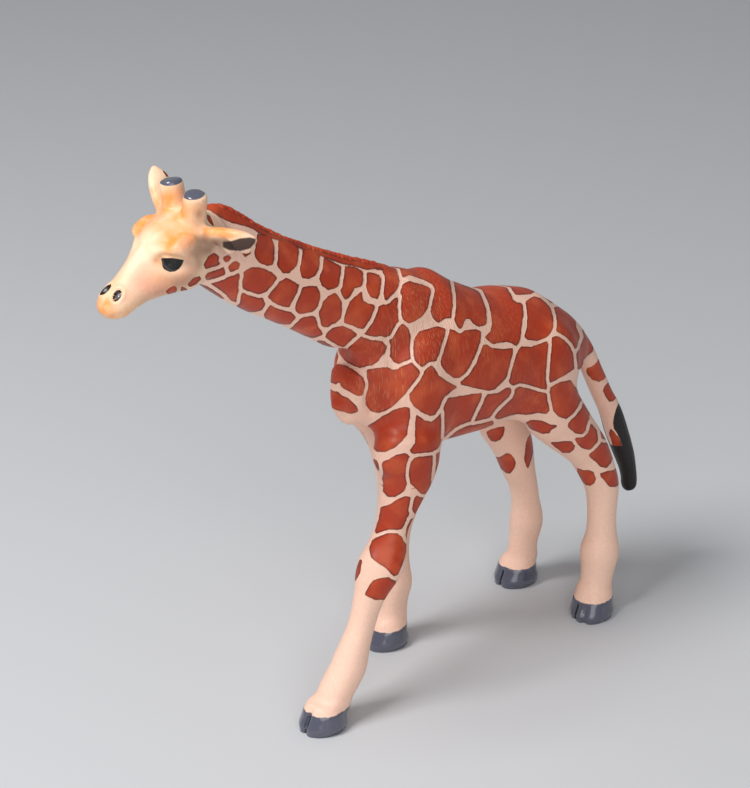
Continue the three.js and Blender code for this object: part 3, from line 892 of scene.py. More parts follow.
# The small painted parts.
EYE = traced("""
    161,259 162,258 173,258 184,260 182,265 179,269 175,271.5 170,272 165,270 162.5,267 162,262;
""")
NOSTRIL = traced("""
    112.5,297 114,293 117,290 120.5,290 122,293 121,297 118,300.5 115,302 112.5,300;
""")
# A painted highlight in the near nostril, in the horn caps' grey.
NOSTRIL_PAINTED_HIGHLIGHT = traced("""
    114,299 116,296 120,293 121,295 118,298 115,300.5;
""")
EAR_OPENING = traced("""
    223,242 232,241 240,238.5 250,237.5 256,239 255,243 250,248.5 240,251 229,250 223,247;
""")
EAR_STRIP = traced("""
    198,227 215,226 240,229 250,232 252,236 240,237 228,239 214,236 200,236;
""")
FAR_EAR_MARK = traced("""
    162,169 164,169.5 169,176 166,177;
""")


@dataclass
class Cell:
    """A patch on the skin: its middle, and how pushes from there turn into shares of its reach."""

    middle: Array
    measure: Array
    reach: float


MIRROR = np.array((-1.0, 1.0, 1.0))


def folded(vectors: Array, right: Array) -> Array:
    """Mirrors those vectors that belong to the right side."""
    return np.where(right[:, None], vectors * MIRROR, vectors)


@dataclass(frozen=True)
class Fold:
    """How the right side's places are looked up on the left side, which the photo shows.

    The legs stand differently on the two sides, so the right ones are shifted by height.
    """

    heights: tuple[float, ...] = (0.0, 36.0, 47.0)
    front: tuple[float, ...] = (-24.0, -8.45, 0.0)
    hind: tuple[float, ...] = (1.7, 2.6, 0.0)
    middle: float = TRUNK_MIDDLE
    soft: float = 8.0

    def shift(self, points: Array) -> Array:
        """How far the left side's match lies behind each point of the right side."""
        front = np.interp(points[:, 2], self.heights, self.front)
        hind = np.interp(points[:, 2], self.heights, self.hind)
        share = fade(points[:, 1], self.middle - self.soft, self.middle + self.soft)
        return front * (1 - share) + hind * share

    def near(self, points: Array, normals: Array) -> tuple[Array, Array]:
        """Finds the left side's places and normals that match the points."""
        right = points[:, 0] < 0
        places = folded(points, right)
        places[:, 1] += np.where(right, self.shift(points), 0.0)
        return places, folded(normals, right)


@dataclass(frozen=True)
class Coat:
    """How the patches lie on the skin: as seen where the photo shows it, as cells elsewhere."""

    squareness: float = 2.6
    fill: float = 1.22
    line: float = 0.32
    rounding: float = 0.22
    slant_limit: float = 2.0
    seen_from: float = -0.05
    seen_to: float = 0.12
    gain: float = 0.16
    half_line: float = 0.24
    rivals: int = 3
    least_slope: float = 0.05
    least_away: float = 1e-6
    margin_span: Span = (-3.0, 30.0)
    batch: int = 4000

    def cells(self, sight: Sight, outlines: Sequence[Outline], mirror: bool = False) -> list[Cell]:
        """Turns outlines into cells on the skin.

        Args:
            sight: the skin as the photo shows it.
            outlines: the patches.
            mirror: whether they lie on the right side and are looked up on the left one.

        Returns:
            One cell for each outline.
        """
        found = []
        for outline in outlines:
            corners = np.asarray(outline, float)
            centre = corners.mean(axis=0)
            middle, normal = sight.hit(tuple(centre))
            pixels = PHOTO.project(middle[None])[1][0]
            spreads, axes = np.linalg.eigh(2 * np.cov((corners - centre).T, bias=True))
            aside = unit(np.cross((0.0, 0.0, 1.0), normal))
            tangents = np.array((aside, np.cross(normal, aside)))
            flat = np.array([
                tangents @ (axis[0] * PHOTO.right - axis[1] * PHOTO.up) * pixels / math.sqrt(spread)
                for spread, axis in zip(spreads, axes.T)
            ])
            left, sizes, right = np.linalg.svd(flat)
            longer = math.sqrt(spreads[1] / spreads[0])
            sizes = np.maximum(sizes, sizes.max() / (self.slant_limit * longer))
            flat = left @ np.diag(sizes) @ right
            reach = 1 / math.sqrt(sizes.prod())
            measure = np.vstack((flat @ tangents, normal / reach))
            if mirror:
                middle = middle.copy()[None]
                middle[:, 1] += Fold().shift(middle)
                middle, measure = middle[0] * MIRROR, measure * MIRROR
            found.append(Cell(middle, measure, reach))
        return found

    def hidden(self, points: Array, cells: Sequence[Cell]) -> Array:
        """Finds how far inside a cell each point lies, in millimetres."""
        result = np.empty(len(points))
        reach = np.array([cell.reach for cell in cells])
        middles = np.array([cell.middle for cell in cells])
        measures = np.array([cell.measure for cell in cells])
        for start in range(0, len(points), self.batch):
            block = points[start:start + self.batch]
            shares = np.einsum("cij,pcj->pci", measures, block[:, None, :] - middles)
            away = (np.abs(shares) ** self.squareness).sum(axis=2) ** (1 / self.squareness)
            away = np.maximum(away, self.least_away)
            nearest = away.argmin(axis=1)
            rows = np.arange(len(block))
            own = away[rows, nearest]
            power = np.sign(shares) * np.abs(shares) ** (self.squareness - 1)
            power /= away[:, :, None] ** (self.squareness - 1)
            slopes = np.einsum("cij,pci->pcj", measures, power)
            total = np.exp((own - self.fill) * reach[nearest] / self.rounding)
            away[rows, nearest] = np.inf
            for _ in range(self.rivals):
                second = away.argmin(axis=1)
                gap = away[rows, second] - own
                slope = np.linalg.norm(slopes[rows, second] - slopes[rows, nearest], axis=1)
                margin = gap / np.maximum(slope, self.least_slope) - self.line
                total += np.exp(-np.clip(margin, *self.margin_span) / self.rounding)
                away[rows, second] = np.inf
            result[start:start + self.batch] = -self.rounding * np.log(total)
        return result

    def margins(
        self, places: Array, normals: Array, outlines: Sequence[Outline], cells: Sequence[Cell],
        slack: float = 0.0,
    ) -> Array:
        """Joins what the photo shows with the cells where it shows nothing.

        Args:
            places: places on the left side.
            normals: the skin's normals there.
            outlines: the patches that the photo shows.
            cells: the cells for the rest.
            slack: how much further round than usual the photo's shapes reach.

        Returns:
            The distance inside a patch, below zero outside.
        """
        seen = fade(normals @ PHOTO.back + slack, self.seen_from, self.seen_to)
        best, second = ranked(places, outlines)
        drawn = np.minimum(best + self.gain, (best - second) / 2 - self.half_line)
        return seen * drawn + (1 - seen) * self.hidden(places, cells)


# How many pixels round an outline are measured, and how much shown skin faces the camera.
OUTLINE_REACH = 14.0
SHOWN_MARGIN = 0.02


def ranked(places: Array, outlines: Sequence[Outline]) -> tuple[Array, Array]:
    """Finds how far inside the outlines places lie, as the photo's camera sees them.

    Args:
        places: places in the calf's frame.
        outlines: corners in pixels.

    Returns:
        The distances in millimetres to the edges of the best and the second best outline,
        above zero inside them.
    """
    pixels, scale = PHOTO.project(places)
    best = np.full(len(places), -OUTLINE_REACH)
    second = best.copy()
    for outline in outlines:
        corners = np.asarray(outline, float)
        low, high = corners.min(axis=0) - OUTLINE_REACH, corners.max(axis=0) + OUTLINE_REACH
        chosen = np.nonzero(((pixels > low) & (pixels < high)).all(axis=1))[0]
        spots = pixels[chosen]
        away = np.full(len(chosen), OUTLINE_REACH)
        inside = np.zeros(len(chosen), bool)
        for start, end in zip(corners, np.roll(corners, -1, axis=0)):
            side, push = end - start, spots - start
            share = np.clip(push @ side / (side @ side), 0, 1)
            away = np.minimum(away, np.linalg.norm(push - share[:, None] * side, axis=1))
            crosses = (start[1] > spots[:, 1]) != (end[1] > spots[:, 1])
            rise = side[1] if side[1] else 1.0
            inside ^= crosses & (push[:, 0] < side[0] * push[:, 1] / rise)
        signed = np.where(inside, away, -away)
        second[chosen] = np.maximum(second[chosen], np.minimum(best[chosen], signed))
        best[chosen] = np.maximum(best[chosen], signed)
    return best / scale, second / scale


def outlined(places: Array, outlines: Sequence[Outline]) -> Array:
    """Finds how far inside the best of some outlines places lie, in millimetres."""
    return ranked(places, outlines)[0]


def shown(points: Array, normals: Array, outlines: Sequence[Outline]) -> Array:
    """Finds how far inside outlines points lie, and counts those that face away as outside."""
    signed = outlined(points, outlines)
    return np.where(normals @ PHOTO.back > SHOWN_MARGIN, signed, -np.abs(signed) - 1.0)


HOOF_TOP = 3.3

# The line of the mane on top of the neck, and half its painted width.
CREST = np.array((
    (0.0, -42.5, 85.6), (0.0, -40.2, 84.2), (0.0, -32.6, 78.3),
    (0.0, -22.7, 72.8), (0.0, -16.6, 70.0), (0.0, -10.3, 67.6),
))
CREST_HALF_WIDTH = 1.35

# Ridges and folds, traced on the photo.
BROW = traced_line("152,257 160,254 172,253.5 184,255 191,259")
CHEEK_LINE = traced_line("150,264 158,273 172,277 186,273 194,266")
BREAST_FOLD = traced_line("343,359 352,364 362,372 368,384 367,398 372,411")
SHOULDER_FOLD = traced_line("399,268 399,300 394,326 386,346 392,366")

# How far the far nostril lies from the near one's mirror image.
NOSTRIL_SHIFT = 0.75

# Where each hoof stands: across and along.
SOLES = {
    Piece.FRONT_LEFT: (6.9, -28.2),
    Piece.FRONT_RIGHT: (-6.4, -4.5),
    Piece.HIND_LEFT: (7.9, 27.0),
    Piece.HIND_RIGHT: (-8.4, 25.5),
}


@dataclass(frozen=True)
class EarCup:
    """The opening of the far ear, which the photo hides."""

    middle: float = 3.5
    half_length: float = 2.8
    half_width: float = 1.1
    least_facing: float = 0.15

    def margin(self, points: Array, normals: Array) -> Array:
        """How far inside the opening points lie, in millimetres."""
        along, across, facing = far_ear_axes()
        push = points - FAR_EAR_SEAT
        away = np.hypot(
            (push @ along - self.middle) / self.half_length, push @ across / self.half_width,
        )
        return np.where(normals @ facing > self.least_facing, self.half_width * (1 - away), OUTSIDE)


def nostril_places(points: Array) -> Array:
    """Where the left side's match of each point lies, for the nostrils."""
    right = points[:, 0] < NOSTRIL_SHIFT / 2
    return np.where(right[:, None], points * MIRROR + (NOSTRIL_SHIFT, 0.0, 0.0), points)


@dataclass(frozen=True)
class Relief:
    """The small forms of the face, the ears, the trunk and the hooves, in millimetres."""

    eye: float = 0.34
    eye_span: Span = (-0.05, 1.0)
    eye_ring: float = 0.26
    eye_ring_shift: float = 0.12
    brow: float = 0.42
    brow_width: float = 0.75
    cheek: float = 0.22
    cheek_width: float = 0.9
    nostril: float = 0.5
    nostril_span: Span = (-0.15, 0.45)
    nostril_rim: float = 0.2
    nostril_rim_shift: float = 0.25
    ring: float = 0.24
    seen_span: Span = (0.05, 0.35)
    face_span: Span = (43.5, 45.5)
    face_beside: float = 0.6
    ear: float = 0.14
    ear_span: Span = (-0.05, 0.7)
    ear_facing: float = 0.05
    ears_before: float = -38.0
    near_ear_beyond: float = 3.0
    far_ear_beyond: float = -6.0
    fold: float = 0.6
    fold_width: float = 0.6
    shoulder: float = 0.2
    shoulder_width: float = 0.9
    trunk_behind: float = -32.0
    trunk_above: float = 38.0
    cleft: float = 0.5
    cleft_width: float = 0.34
    cleft_front: Span = (0.2, 1.2)
    cleft_top: Span = (2.4, 3.4)
    hoof: float = 0.13
    hoof_span: Span = (HOOF_TOP - 0.2, HOOF_TOP + 0.1)
    hoof_reach: float = 6.5
    sole_edge: float = 0.4
    sole_round: float = 1.2
    under_span: Span = (0.4, 0.9)

    def heights(self, points: Array, normals: Array) -> Array:
        """How far each point of the skin is pushed out."""
        places, turned = Fold().near(points, normals)
        pixels, scale = PHOTO.project(places)
        seen = fade(turned @ PHOTO.back, *self.seen_span)

        def line(corners: Array, width: float) -> Array:
            """How near the points are to a drawn line."""
            return bell(near_line(pixels, corners) / scale, width)

        eye = outlined(places, EYE)
        nostril = outlined(nostril_places(points), NOSTRIL)
        face = self.eye * fade(eye, *self.eye_span)
        face -= self.eye_ring * bell(eye + self.eye_ring_shift, self.ring)
        face += self.brow * line(BROW, self.brow_width)
        face += self.cheek * line(CHEEK_LINE, self.cheek_width)
        face += self.nostril_rim * bell(nostril + self.nostril_rim_shift, self.ring)
        face -= self.nostril * fade(nostril, *self.nostril_span)
        face *= fade(-points[:, 1], *self.face_span) * (np.abs(points[:, 0]) > self.face_beside)
        folds = self.fold * line(BREAST_FOLD, self.fold_width)
        folds += self.shoulder * line(SHOULDER_FOLD, self.shoulder_width)
        folds *= (points[:, 1] > self.trunk_behind) * (points[:, 2] > self.trunk_above)
        return seen * (face - folds) - self._ears(points, normals) + self._hooves(points, normals)

    def _ears(self, points: Array, normals: Array) -> Array:
        """The depth of the ears' openings."""
        near = (points[:, 0] > self.near_ear_beyond) & (points[:, 1] < self.ears_before)
        near &= normals @ PHOTO.back > self.ear_facing
        far = points[:, 0] < self.far_ear_beyond
        opening = np.maximum(
            np.where(near, outlined(points, EAR_OPENING), OUTSIDE),
            np.where(far, EarCup().margin(points, normals), OUTSIDE),
        )
        return self.ear * fade(opening, *self.ear_span)

    def _hooves(self, points: Array, normals: Array) -> Array:
        """The hooves' thickness, their clefts and the rounding of their lower edges."""
        height = points[:, 2]
        thick = self.hoof * (1 - fade(height, *self.hoof_span))
        wall = 1 - fade(-normals[:, 2], *self.under_span)
        edge = self.sole_edge * wall * (1 - fade(height, 0.0, self.sole_round))
        low = 1 - fade(height, *self.cleft_top)
        total = np.zeros(len(points))
        for across, along in SOLES.values():
            near = np.hypot(points[:, 0] - across, points[:, 1] - along) < self.hoof_reach
            groove = low * fade(along - points[:, 1], *self.cleft_front)
            groove *= bell(points[:, 0] - across, self.cleft_width)
            total += near * (thick - edge - self.cleft * groove)
        return total


@dataclass(frozen=True)
class Bridge:
    """How the far side of the nose bridge moves in, to meet its outline in the photo.

    The heights, the edge, the excess and the reach are in pixels.
    """

    heights: tuple[float, ...] = (226, 236, 246, 256, 266, 276, 288, 296)
    edge: tuple[float, ...] = (128, 129, 124, 121, 116, 108, 102, 100)
    excess: tuple[float, ...] = (0.0, 3.5, 8.0, 6.0, 4.5, 3.5, 1.5, 0.0)
    reach: float = 26.0
    before: float = -44.0
    side_span: Span = (-1.5, 0.8)

    def shifts(self, points: Array) -> Array:
        """How far the points move."""
        pixels, scale = PHOTO.project(points)
        across, down = pixels.T
        away = across - np.interp(down, self.heights, self.edge)
        share = (1 - fade(away, 0.0, self.reach)) * (points[:, 1] < self.before)
        share *= fade(-points[:, 0], *self.side_span)
        excess = np.interp(down, self.heights, self.excess)
        return (excess * share / scale)[:, None] * PHOTO.right


@dataclass(frozen=True)
class Spot:
    """A place on the skin, by its pixel, with the radius and the amount of a change there."""

    pixel: Pixel
    radius: float
    amount: float = 0.0
    side: float = 1.0


@dataclass(frozen=True)
class Sculptor:
    """The changes to the smoothed skin. What starts with near or far is one ear's."""

    dents: tuple[Spot, ...] = (Spot((385, 418), 6.0), Spot((352, 358), 3.0))
    dent_rounds: int = 500
    hollows: tuple[Spot, ...] = (Spot((334, 354), 2.4, 2.2), Spot((337, 419), 1.8, 1.1))
    hollow_stretch: Place = (0.5, 1.0, 1.0)
    knees: tuple[Spot, ...] = (Spot((392, 568), 4.2, 1.4), Spot((408, 605), 3.0, -0.7, -1.0))
    far_corner: Place = (-5.5, -40.0, 85.0)
    far_across: Span = (155.0, 167.0)
    far_down: Span = (172.0, 186.0)
    far_share: float = 0.35
    near_axis: tuple[Place, Place] = ((5.9, -45.4, 83.8), (12.2, -42.3, 84.5))
    near_start: Span = (216.0, 232.0)
    near_end: Span = (248.0, 259.0)
    near_down: Span = (237.0, 243.0)
    last_rounds: int = 2
    last_step: float = 0.4

    def apply(self, skin: Skin) -> None:
        """Adds the relief and moves the skin to meet the photo, inside the CAD's box."""
        sight = Sight(skin)
        for dent in self.dents:
            place, _ = sight.hit(dent.pixel)
            for side in (1.0, -1.0):
                skin.soften(place * (side, 1.0, 1.0), dent.radius, self.dent_rounds)
        for hollow in self.hollows:
            place, _ = sight.hit(hollow.pixel)
            away = np.linalg.norm((skin.points - place) * self.hollow_stretch, axis=1)
            skin.push(-hollow.amount * bell(away, hollow.radius))
        skin.push(Relief().heights(skin.points, skin.normals))
        bridge = Bridge()
        skin.points += bridge.shifts(skin.points) + bridge.shifts(skin.points * MIRROR) * MIRROR
        pixels, scale = PHOTO.project(skin.points)
        for knee in self.knees:
            place, _ = sight.hit(knee.pixel)
            share = bell(np.linalg.norm(skin.points - place, axis=1), knee.radius)
            share *= knee.side * skin.points[:, 0] > 0
            skin.points += (knee.amount * share)[:, None] * PHOTO.right
        self._shape_ears(skin, pixels, scale)
        skin.smooth(self.last_rounds, np.ones(len(skin.points)), self.last_step)
        low, high = (np.array(corner) / METRES - CALF_ZERO for corner in CAD_BOUNDS)
        skin.points = np.clip(skin.points, low, high)
        skin.renew_normals()

    def _shape_ears(self, skin: Skin, pixels: Array, scale: Array) -> None:
        """Widens the far ear's tip and lowers the near ear's underside."""
        across, down = pixels.T
        beside, before, above = self.far_corner
        chosen = (skin.points[:, 0] < beside) & (skin.points[:, 2] > above)
        chosen &= skin.points[:, 1] < before
        start, end = self.far_across
        aside = np.clip(across - start, 0, end - start) * chosen * (1 - fade(down, *self.far_down))
        skin.points += (self.far_share * aside / scale)[:, None] * PHOTO.right
        chosen = near_line(skin.points, np.array(self.near_axis)) < EAR_REACH
        window = fade(across, *self.near_start) * (1 - fade(across, *self.near_end))
        drop = EAR_DROP * chosen * window * fade(down, *self.near_down)
        skin.points -= drop[:, None] * PHOTO.up


class Node:
    """A node tree that is built by plain calls."""

    def __init__(self, tree: bpy.types.NodeTree) -> None:
        self.tree = tree

    def add(
        self, kind: str, inputs: dict[str | int, object] | None = None, **settings: object,
    ) -> bpy.types.Node:
        """Adds a node.

        Args:
            kind: the node's type.
            inputs: what the node's sockets are linked or set to.
            settings: the node's own properties.

        Returns:
            The node.
        """
        made = self.tree.nodes.new(kind)
        for name, value in settings.items():
            setattr(made, name, value)
        for name, value in (inputs or {}).items():
            self.feed(made.inputs[name], value)
        return made

    def feed(self, socket: bpy.types.NodeSocket, value: object) -> None:
        """Links a socket, or sets its value."""
        if isinstance(value, bpy.types.NodeSocket):
            self.tree.links.new(value, socket)
        else:
            socket.default_value = value

    def math(self, operation: str, *values: object) -> bpy.types.NodeSocket:
        """Works out a number."""
        made = self.add("ShaderNodeMath", dict(enumerate(values)), operation=operation)
        return made.outputs[0]

    def times(self, one: object, other: object) -> bpy.types.NodeSocket:
        """Multiplies two numbers."""
        return self.math("MULTIPLY", one, other)

    def mix(self, share: object, one: object, other: object) -> bpy.types.NodeSocket:
        """Mixes two colours."""
        inputs = {0: share, 6: one, 7: other}
        return self.add("ShaderNodeMix", inputs, data_type="RGBA", clamp_factor=True).outputs[2]

    def blend(self, share: object, one: object, other: object) -> bpy.types.NodeSocket:
        """Mixes two numbers."""
        inputs = {0: share, 2: one, 3: other}
        return self.add("ShaderNodeMix", inputs, data_type="FLOAT", clamp_factor=True).outputs[0]

    def ramp(self, value: object, ramp: Ramp) -> bpy.types.NodeSocket:
        """Maps a range smoothly onto another, which is from 0 to 1 where none is given."""
        inputs = dict(enumerate((value, *ramp)))
        return self.add("ShaderNodeMapRange", inputs, interpolation_type="SMOOTHSTEP").outputs[0]

    def mark(self, mark: "Mark") -> bpy.types.NodeSocket:
        """Reads a number that the mesh carries."""
        return self.add("ShaderNodeAttribute", attribute_name=mark.value).outputs["Fac"]

    def noise(self, place: object, noise: Span) -> bpy.types.NodeSocket:
        """Makes soft noise round 0.5 of a scale and a detail."""
        scale, detail = noise
        inputs = {"Vector": place, "Scale": scale, "Detail": detail}
        return self.add("ShaderNodeTexNoise", inputs).outputs["Fac"]


class Mark(Enum):
    """The numbers that the meshes carry for their paint."""

    PATCH = "patch"
    HOOF = "hoof"
    BLACK = "black"
    # The horn caps, and the painted highlight in the near nostril, both in slate grey.
    CAP_AND_HIGHLIGHT = "cap"
    WARM = "warm"
    # Pink paint on the cheeks and lower head, partly laid as painted shade.
    ROSY_AND_SHADE = "rosy_and_shade"
    # Painted shade: darker paint round the ears' base, behind the eye and under the jaw.
    PAINTED_SHADE = "painted_shade"
    FACE = "face"
    SHANK = "shank"
    STROKE = "stroke"
    EAR = "ear"
    TUFT = "tuft"


@dataclass(frozen=True)
class Blob:
    """A soft round spot at a pixel of the photo, on both sides of the calf."""

    x: float
    y: float
    radius: float
    strength: float

    def cover(self, points: Array, sight: Sight) -> Array:
        """How strongly the blob covers each point."""
        middle, _ = sight.hit((self.x, self.y))
        radius = self.radius / PHOTO.project(middle[None])[1][0]
        own = ((points - middle) ** 2).sum(axis=1)
        own = np.minimum(own, ((points * MIRROR - middle) ** 2).sum(axis=1))
        return self.strength * np.exp(-own / radius ** 2)


def covered(spots: Sequence[Blob], points: Array, sight: Sight) -> Array:
    """Lays soft spots over each other, up to full cover."""
    left = np.ones(len(points))
    for spot in spots:
        left *= 1 - np.clip(spot.cover(points, sight), 0, 1)
    return 1 - left


def blobs(text: str) -> tuple[Blob, ...]:
    """Reads soft spots, each as "across,down,radius,strength"."""
    return tuple(Blob(*numbers) for numbers in traced(text)[0])


WARM_BLOBS = blobs("""
    140,226,13,0.95 148,215,9,0.8 165,211,10,0.75 183,210,10,0.7 158,200,6,0.8 172,200,8,0.75
    172,190,8,0.35 196,208,7,0.45 160,226,12,0.5 176,236,11,0.5 190,228,8,0.45 165,245,10,0.25
    205,231,7,0.9 217,231,7,0.85 229,232,7,0.7 240,233,6,0.4 107,304,7,0.8 103,311,8,0.75
    113,315,7,0.6 127,314,8,0.5 139,307,7,0.35 112,286,7,0.3 120,278,8,0.2 158,261,5,0.5
    155,277,9,0.25 168,280,9,0.25 182,275,6,0.2 153,190,5,0.5
""")
# Pink spots on the cheeks and lower head, partly painted shade.
ROSY_AND_SHADE_BLOBS = blobs("""
    180,243,9,0.7 190,240,8,0.5 140,280,12,0.6 150,288,12,0.7 165,287,12,0.7 183,282,10,0.6
    192,270,9,0.5 180,190,6,0.6 128,296,10,0.4 146,266,8,0.35 205,205,6,0.4 190,255,8,0.45
""")
# Painted shade: dark spots round the ears' base, behind the eye and under the jaw.
PAINTED_SHADE_BLOBS = blobs("""
    199,214,5,0.5 199,226,6,0.4 204,240,8,0.75 216,243,8,0.88 210,249,8,0.7 197,252,9,0.5
    199,264,8,0.4 155,260,4,0.35 176,283,11,0.42 160,292,10,0.36 225,243,6,0.6 204,250,8,0.5
    190,280,10,0.38 210,262,8,0.25 188,262,8,0.25 145,300,8,0.25
""")
STROKE_BLOBS = blobs("""
    420,290,40,1 400,350,36,1 375,395,26,0.9 430,345,26,0.8
    520,400,34,0.5 480,340,35,0.6 570,330,25,0.6 500,310,30,0.5
""")

# The height where each horn's cap starts, the left one's first, and its slope from the axis.
HORN_CAP_FLOORS = (89.2, 89.68)
CAP_TILT = 0.1
HORN_AXIS = -46.7

# How much larger the far nostril is painted, and how high the tail's tuft reaches.
FAR_NOSTRIL_SPREAD = 0.12
TUFT_TOP = 30.5

# The hooves' dark clefts: half their width, how far forward they start and how high they go.
CLEFT_LINE = 0.17
CLEFT_START = 0.9
CLEFT_TOP = 2.8

# Which patches can lie on which pieces.
PATCHES_ON = {
    Piece.TORSO: (
        NECK_PATCHES + TRUNK_PATCHES + FORELEG_PATCHES + HINDLEG_PATCHES + TAIL_PATCHES[:1]
    ),
    Piece.NECK: NECK_PATCHES + CHEEK_PATCHES[:4] + TRUNK_PATCHES,
    Piece.HEAD: CHEEK_PATCHES + NECK_PATCHES[:2],
    Piece.FRONT_LEFT: TRUNK_PATCHES + FORELEG_PATCHES,
    Piece.FRONT_RIGHT: TRUNK_PATCHES + FORELEG_PATCHES,
    Piece.HIND_LEFT: TRUNK_PATCHES + HINDLEG_PATCHES,
    Piece.HIND_RIGHT: TRUNK_PATCHES + HINDLEG_PATCHES,
    Piece.TAIL: TAIL_PATCHES,
}

# Which soft spots are laid on which pieces.
BLOBS_ON = (
    (Mark.WARM, WARM_BLOBS, (Piece.HEAD, Piece.EAR_LEFT, Piece.EAR_RIGHT)),
    (Mark.ROSY_AND_SHADE, ROSY_AND_SHADE_BLOBS, (Piece.HEAD, Piece.EAR_LEFT, Piece.EAR_RIGHT)),
    # The painted shade reaches onto the top of the neck as well.
    (Mark.PAINTED_SHADE, PAINTED_SHADE_BLOBS, (Piece.HEAD, Piece.EAR_LEFT, Piece.EAR_RIGHT, Piece.NECK)),
    (
        Mark.STROKE, STROKE_BLOBS,
        (Piece.TORSO, Piece.NECK, Piece.FRONT_LEFT, Piece.FRONT_RIGHT),
    ),
)


@dataclass(frozen=True)
class FigurePaint:
    """The figure's paints."""

    line: Colour = paint(241, 196, 174)
    face: Colour = paint(243, 208, 174)
    shank: Colour = paint(246, 203, 180)
    patch: Colour = paint(174, 55, 24)
    patch_edge: Colour = paint(98, 32, 20)
    patch_light: Colour = paint(208, 94, 50)
    hair: Colour = paint(226, 138, 98)
    warm: Colour = paint(242, 150, 70)
    # Pink, partly painted shade on the lower head.
    rosy_and_shade: Colour = paint(232, 160, 132)
    # The painted shade round the ears and under the jaw.
    painted_shade: Colour = paint(124, 84, 68)
    ear: Colour = paint(68, 48, 41)
    slate: Colour = paint(84, 86, 101)
    black: Colour = paint(22, 19, 18)
    tuft: Colour = paint(26, 20, 18)


PAINTS = FigurePaint()


@dataclass(frozen=True)
class PaintWork:
    """How the paints vary and meet.

    A noise has a scale per millimetre and a detail. A ramp has the range it reads and, where
    that isn't from 0 to 1, the range it gives.
    """

    grain: Span = (2.2, 3.0)
    cloud: Span = (0.3, 2.0)
    ragged: Span = (1.3, 2.0)
    brush: Span = (0.9, 3.0)
    strand: Span = (1.6, 3.0)
    strand_turn: Place = (0.5, 0.0, 0.0)
    strand_scale: Place = (1.6, 3.2, 0.35)
    brushed: Ramp = (0.25, 0.65, 0.7, 1.15)
    patch_raggedness: float = 0.22
    patch_edge: Ramp = (-0.06, 0.06)
    patch_rim: Ramp = (0.02, 0.34)
    patch_cloud: Ramp = (0.42, 0.72, 0.0, 0.5)
    stroke: Ramp = (0.5, 0.7)
    stroke_cover: float = 0.55
    hoof_raggedness: float = 0.35
    slate_edge: Ramp = (-0.08, 0.08)
    ear_edge: Ramp = (-0.15, 0.1)
    tuft_edge: Ramp = (-0.08, 0.08)
    black_edge: Ramp = (-0.05, 0.05)
    grain_shade: Ramp = (0.2, 0.8, 0.95, 1.04)
    line_rough: float = 0.5
    patch_rough: float = 0.42
    slate_rough: float = 0.2
    ear_rough: float = 0.6
    black_rough: float = 0.32
    grain_rough: Ramp = (0.3, 0.7, -0.05, 0.06)
    body_shine: float = 0.06
    slate_shine: float = 0.9
    ear_shine: float = 0.0
    black_shine: float = 0.12
    tuft_shine: float = 0.15
    stroke_height: float = 1.3
    grain_height: float = 0.35
    patch_step: Ramp = (-0.14, 0.1)
    patch_height: float = 0.7
    tuft_height: float = 2.0


WORK = PaintWork()


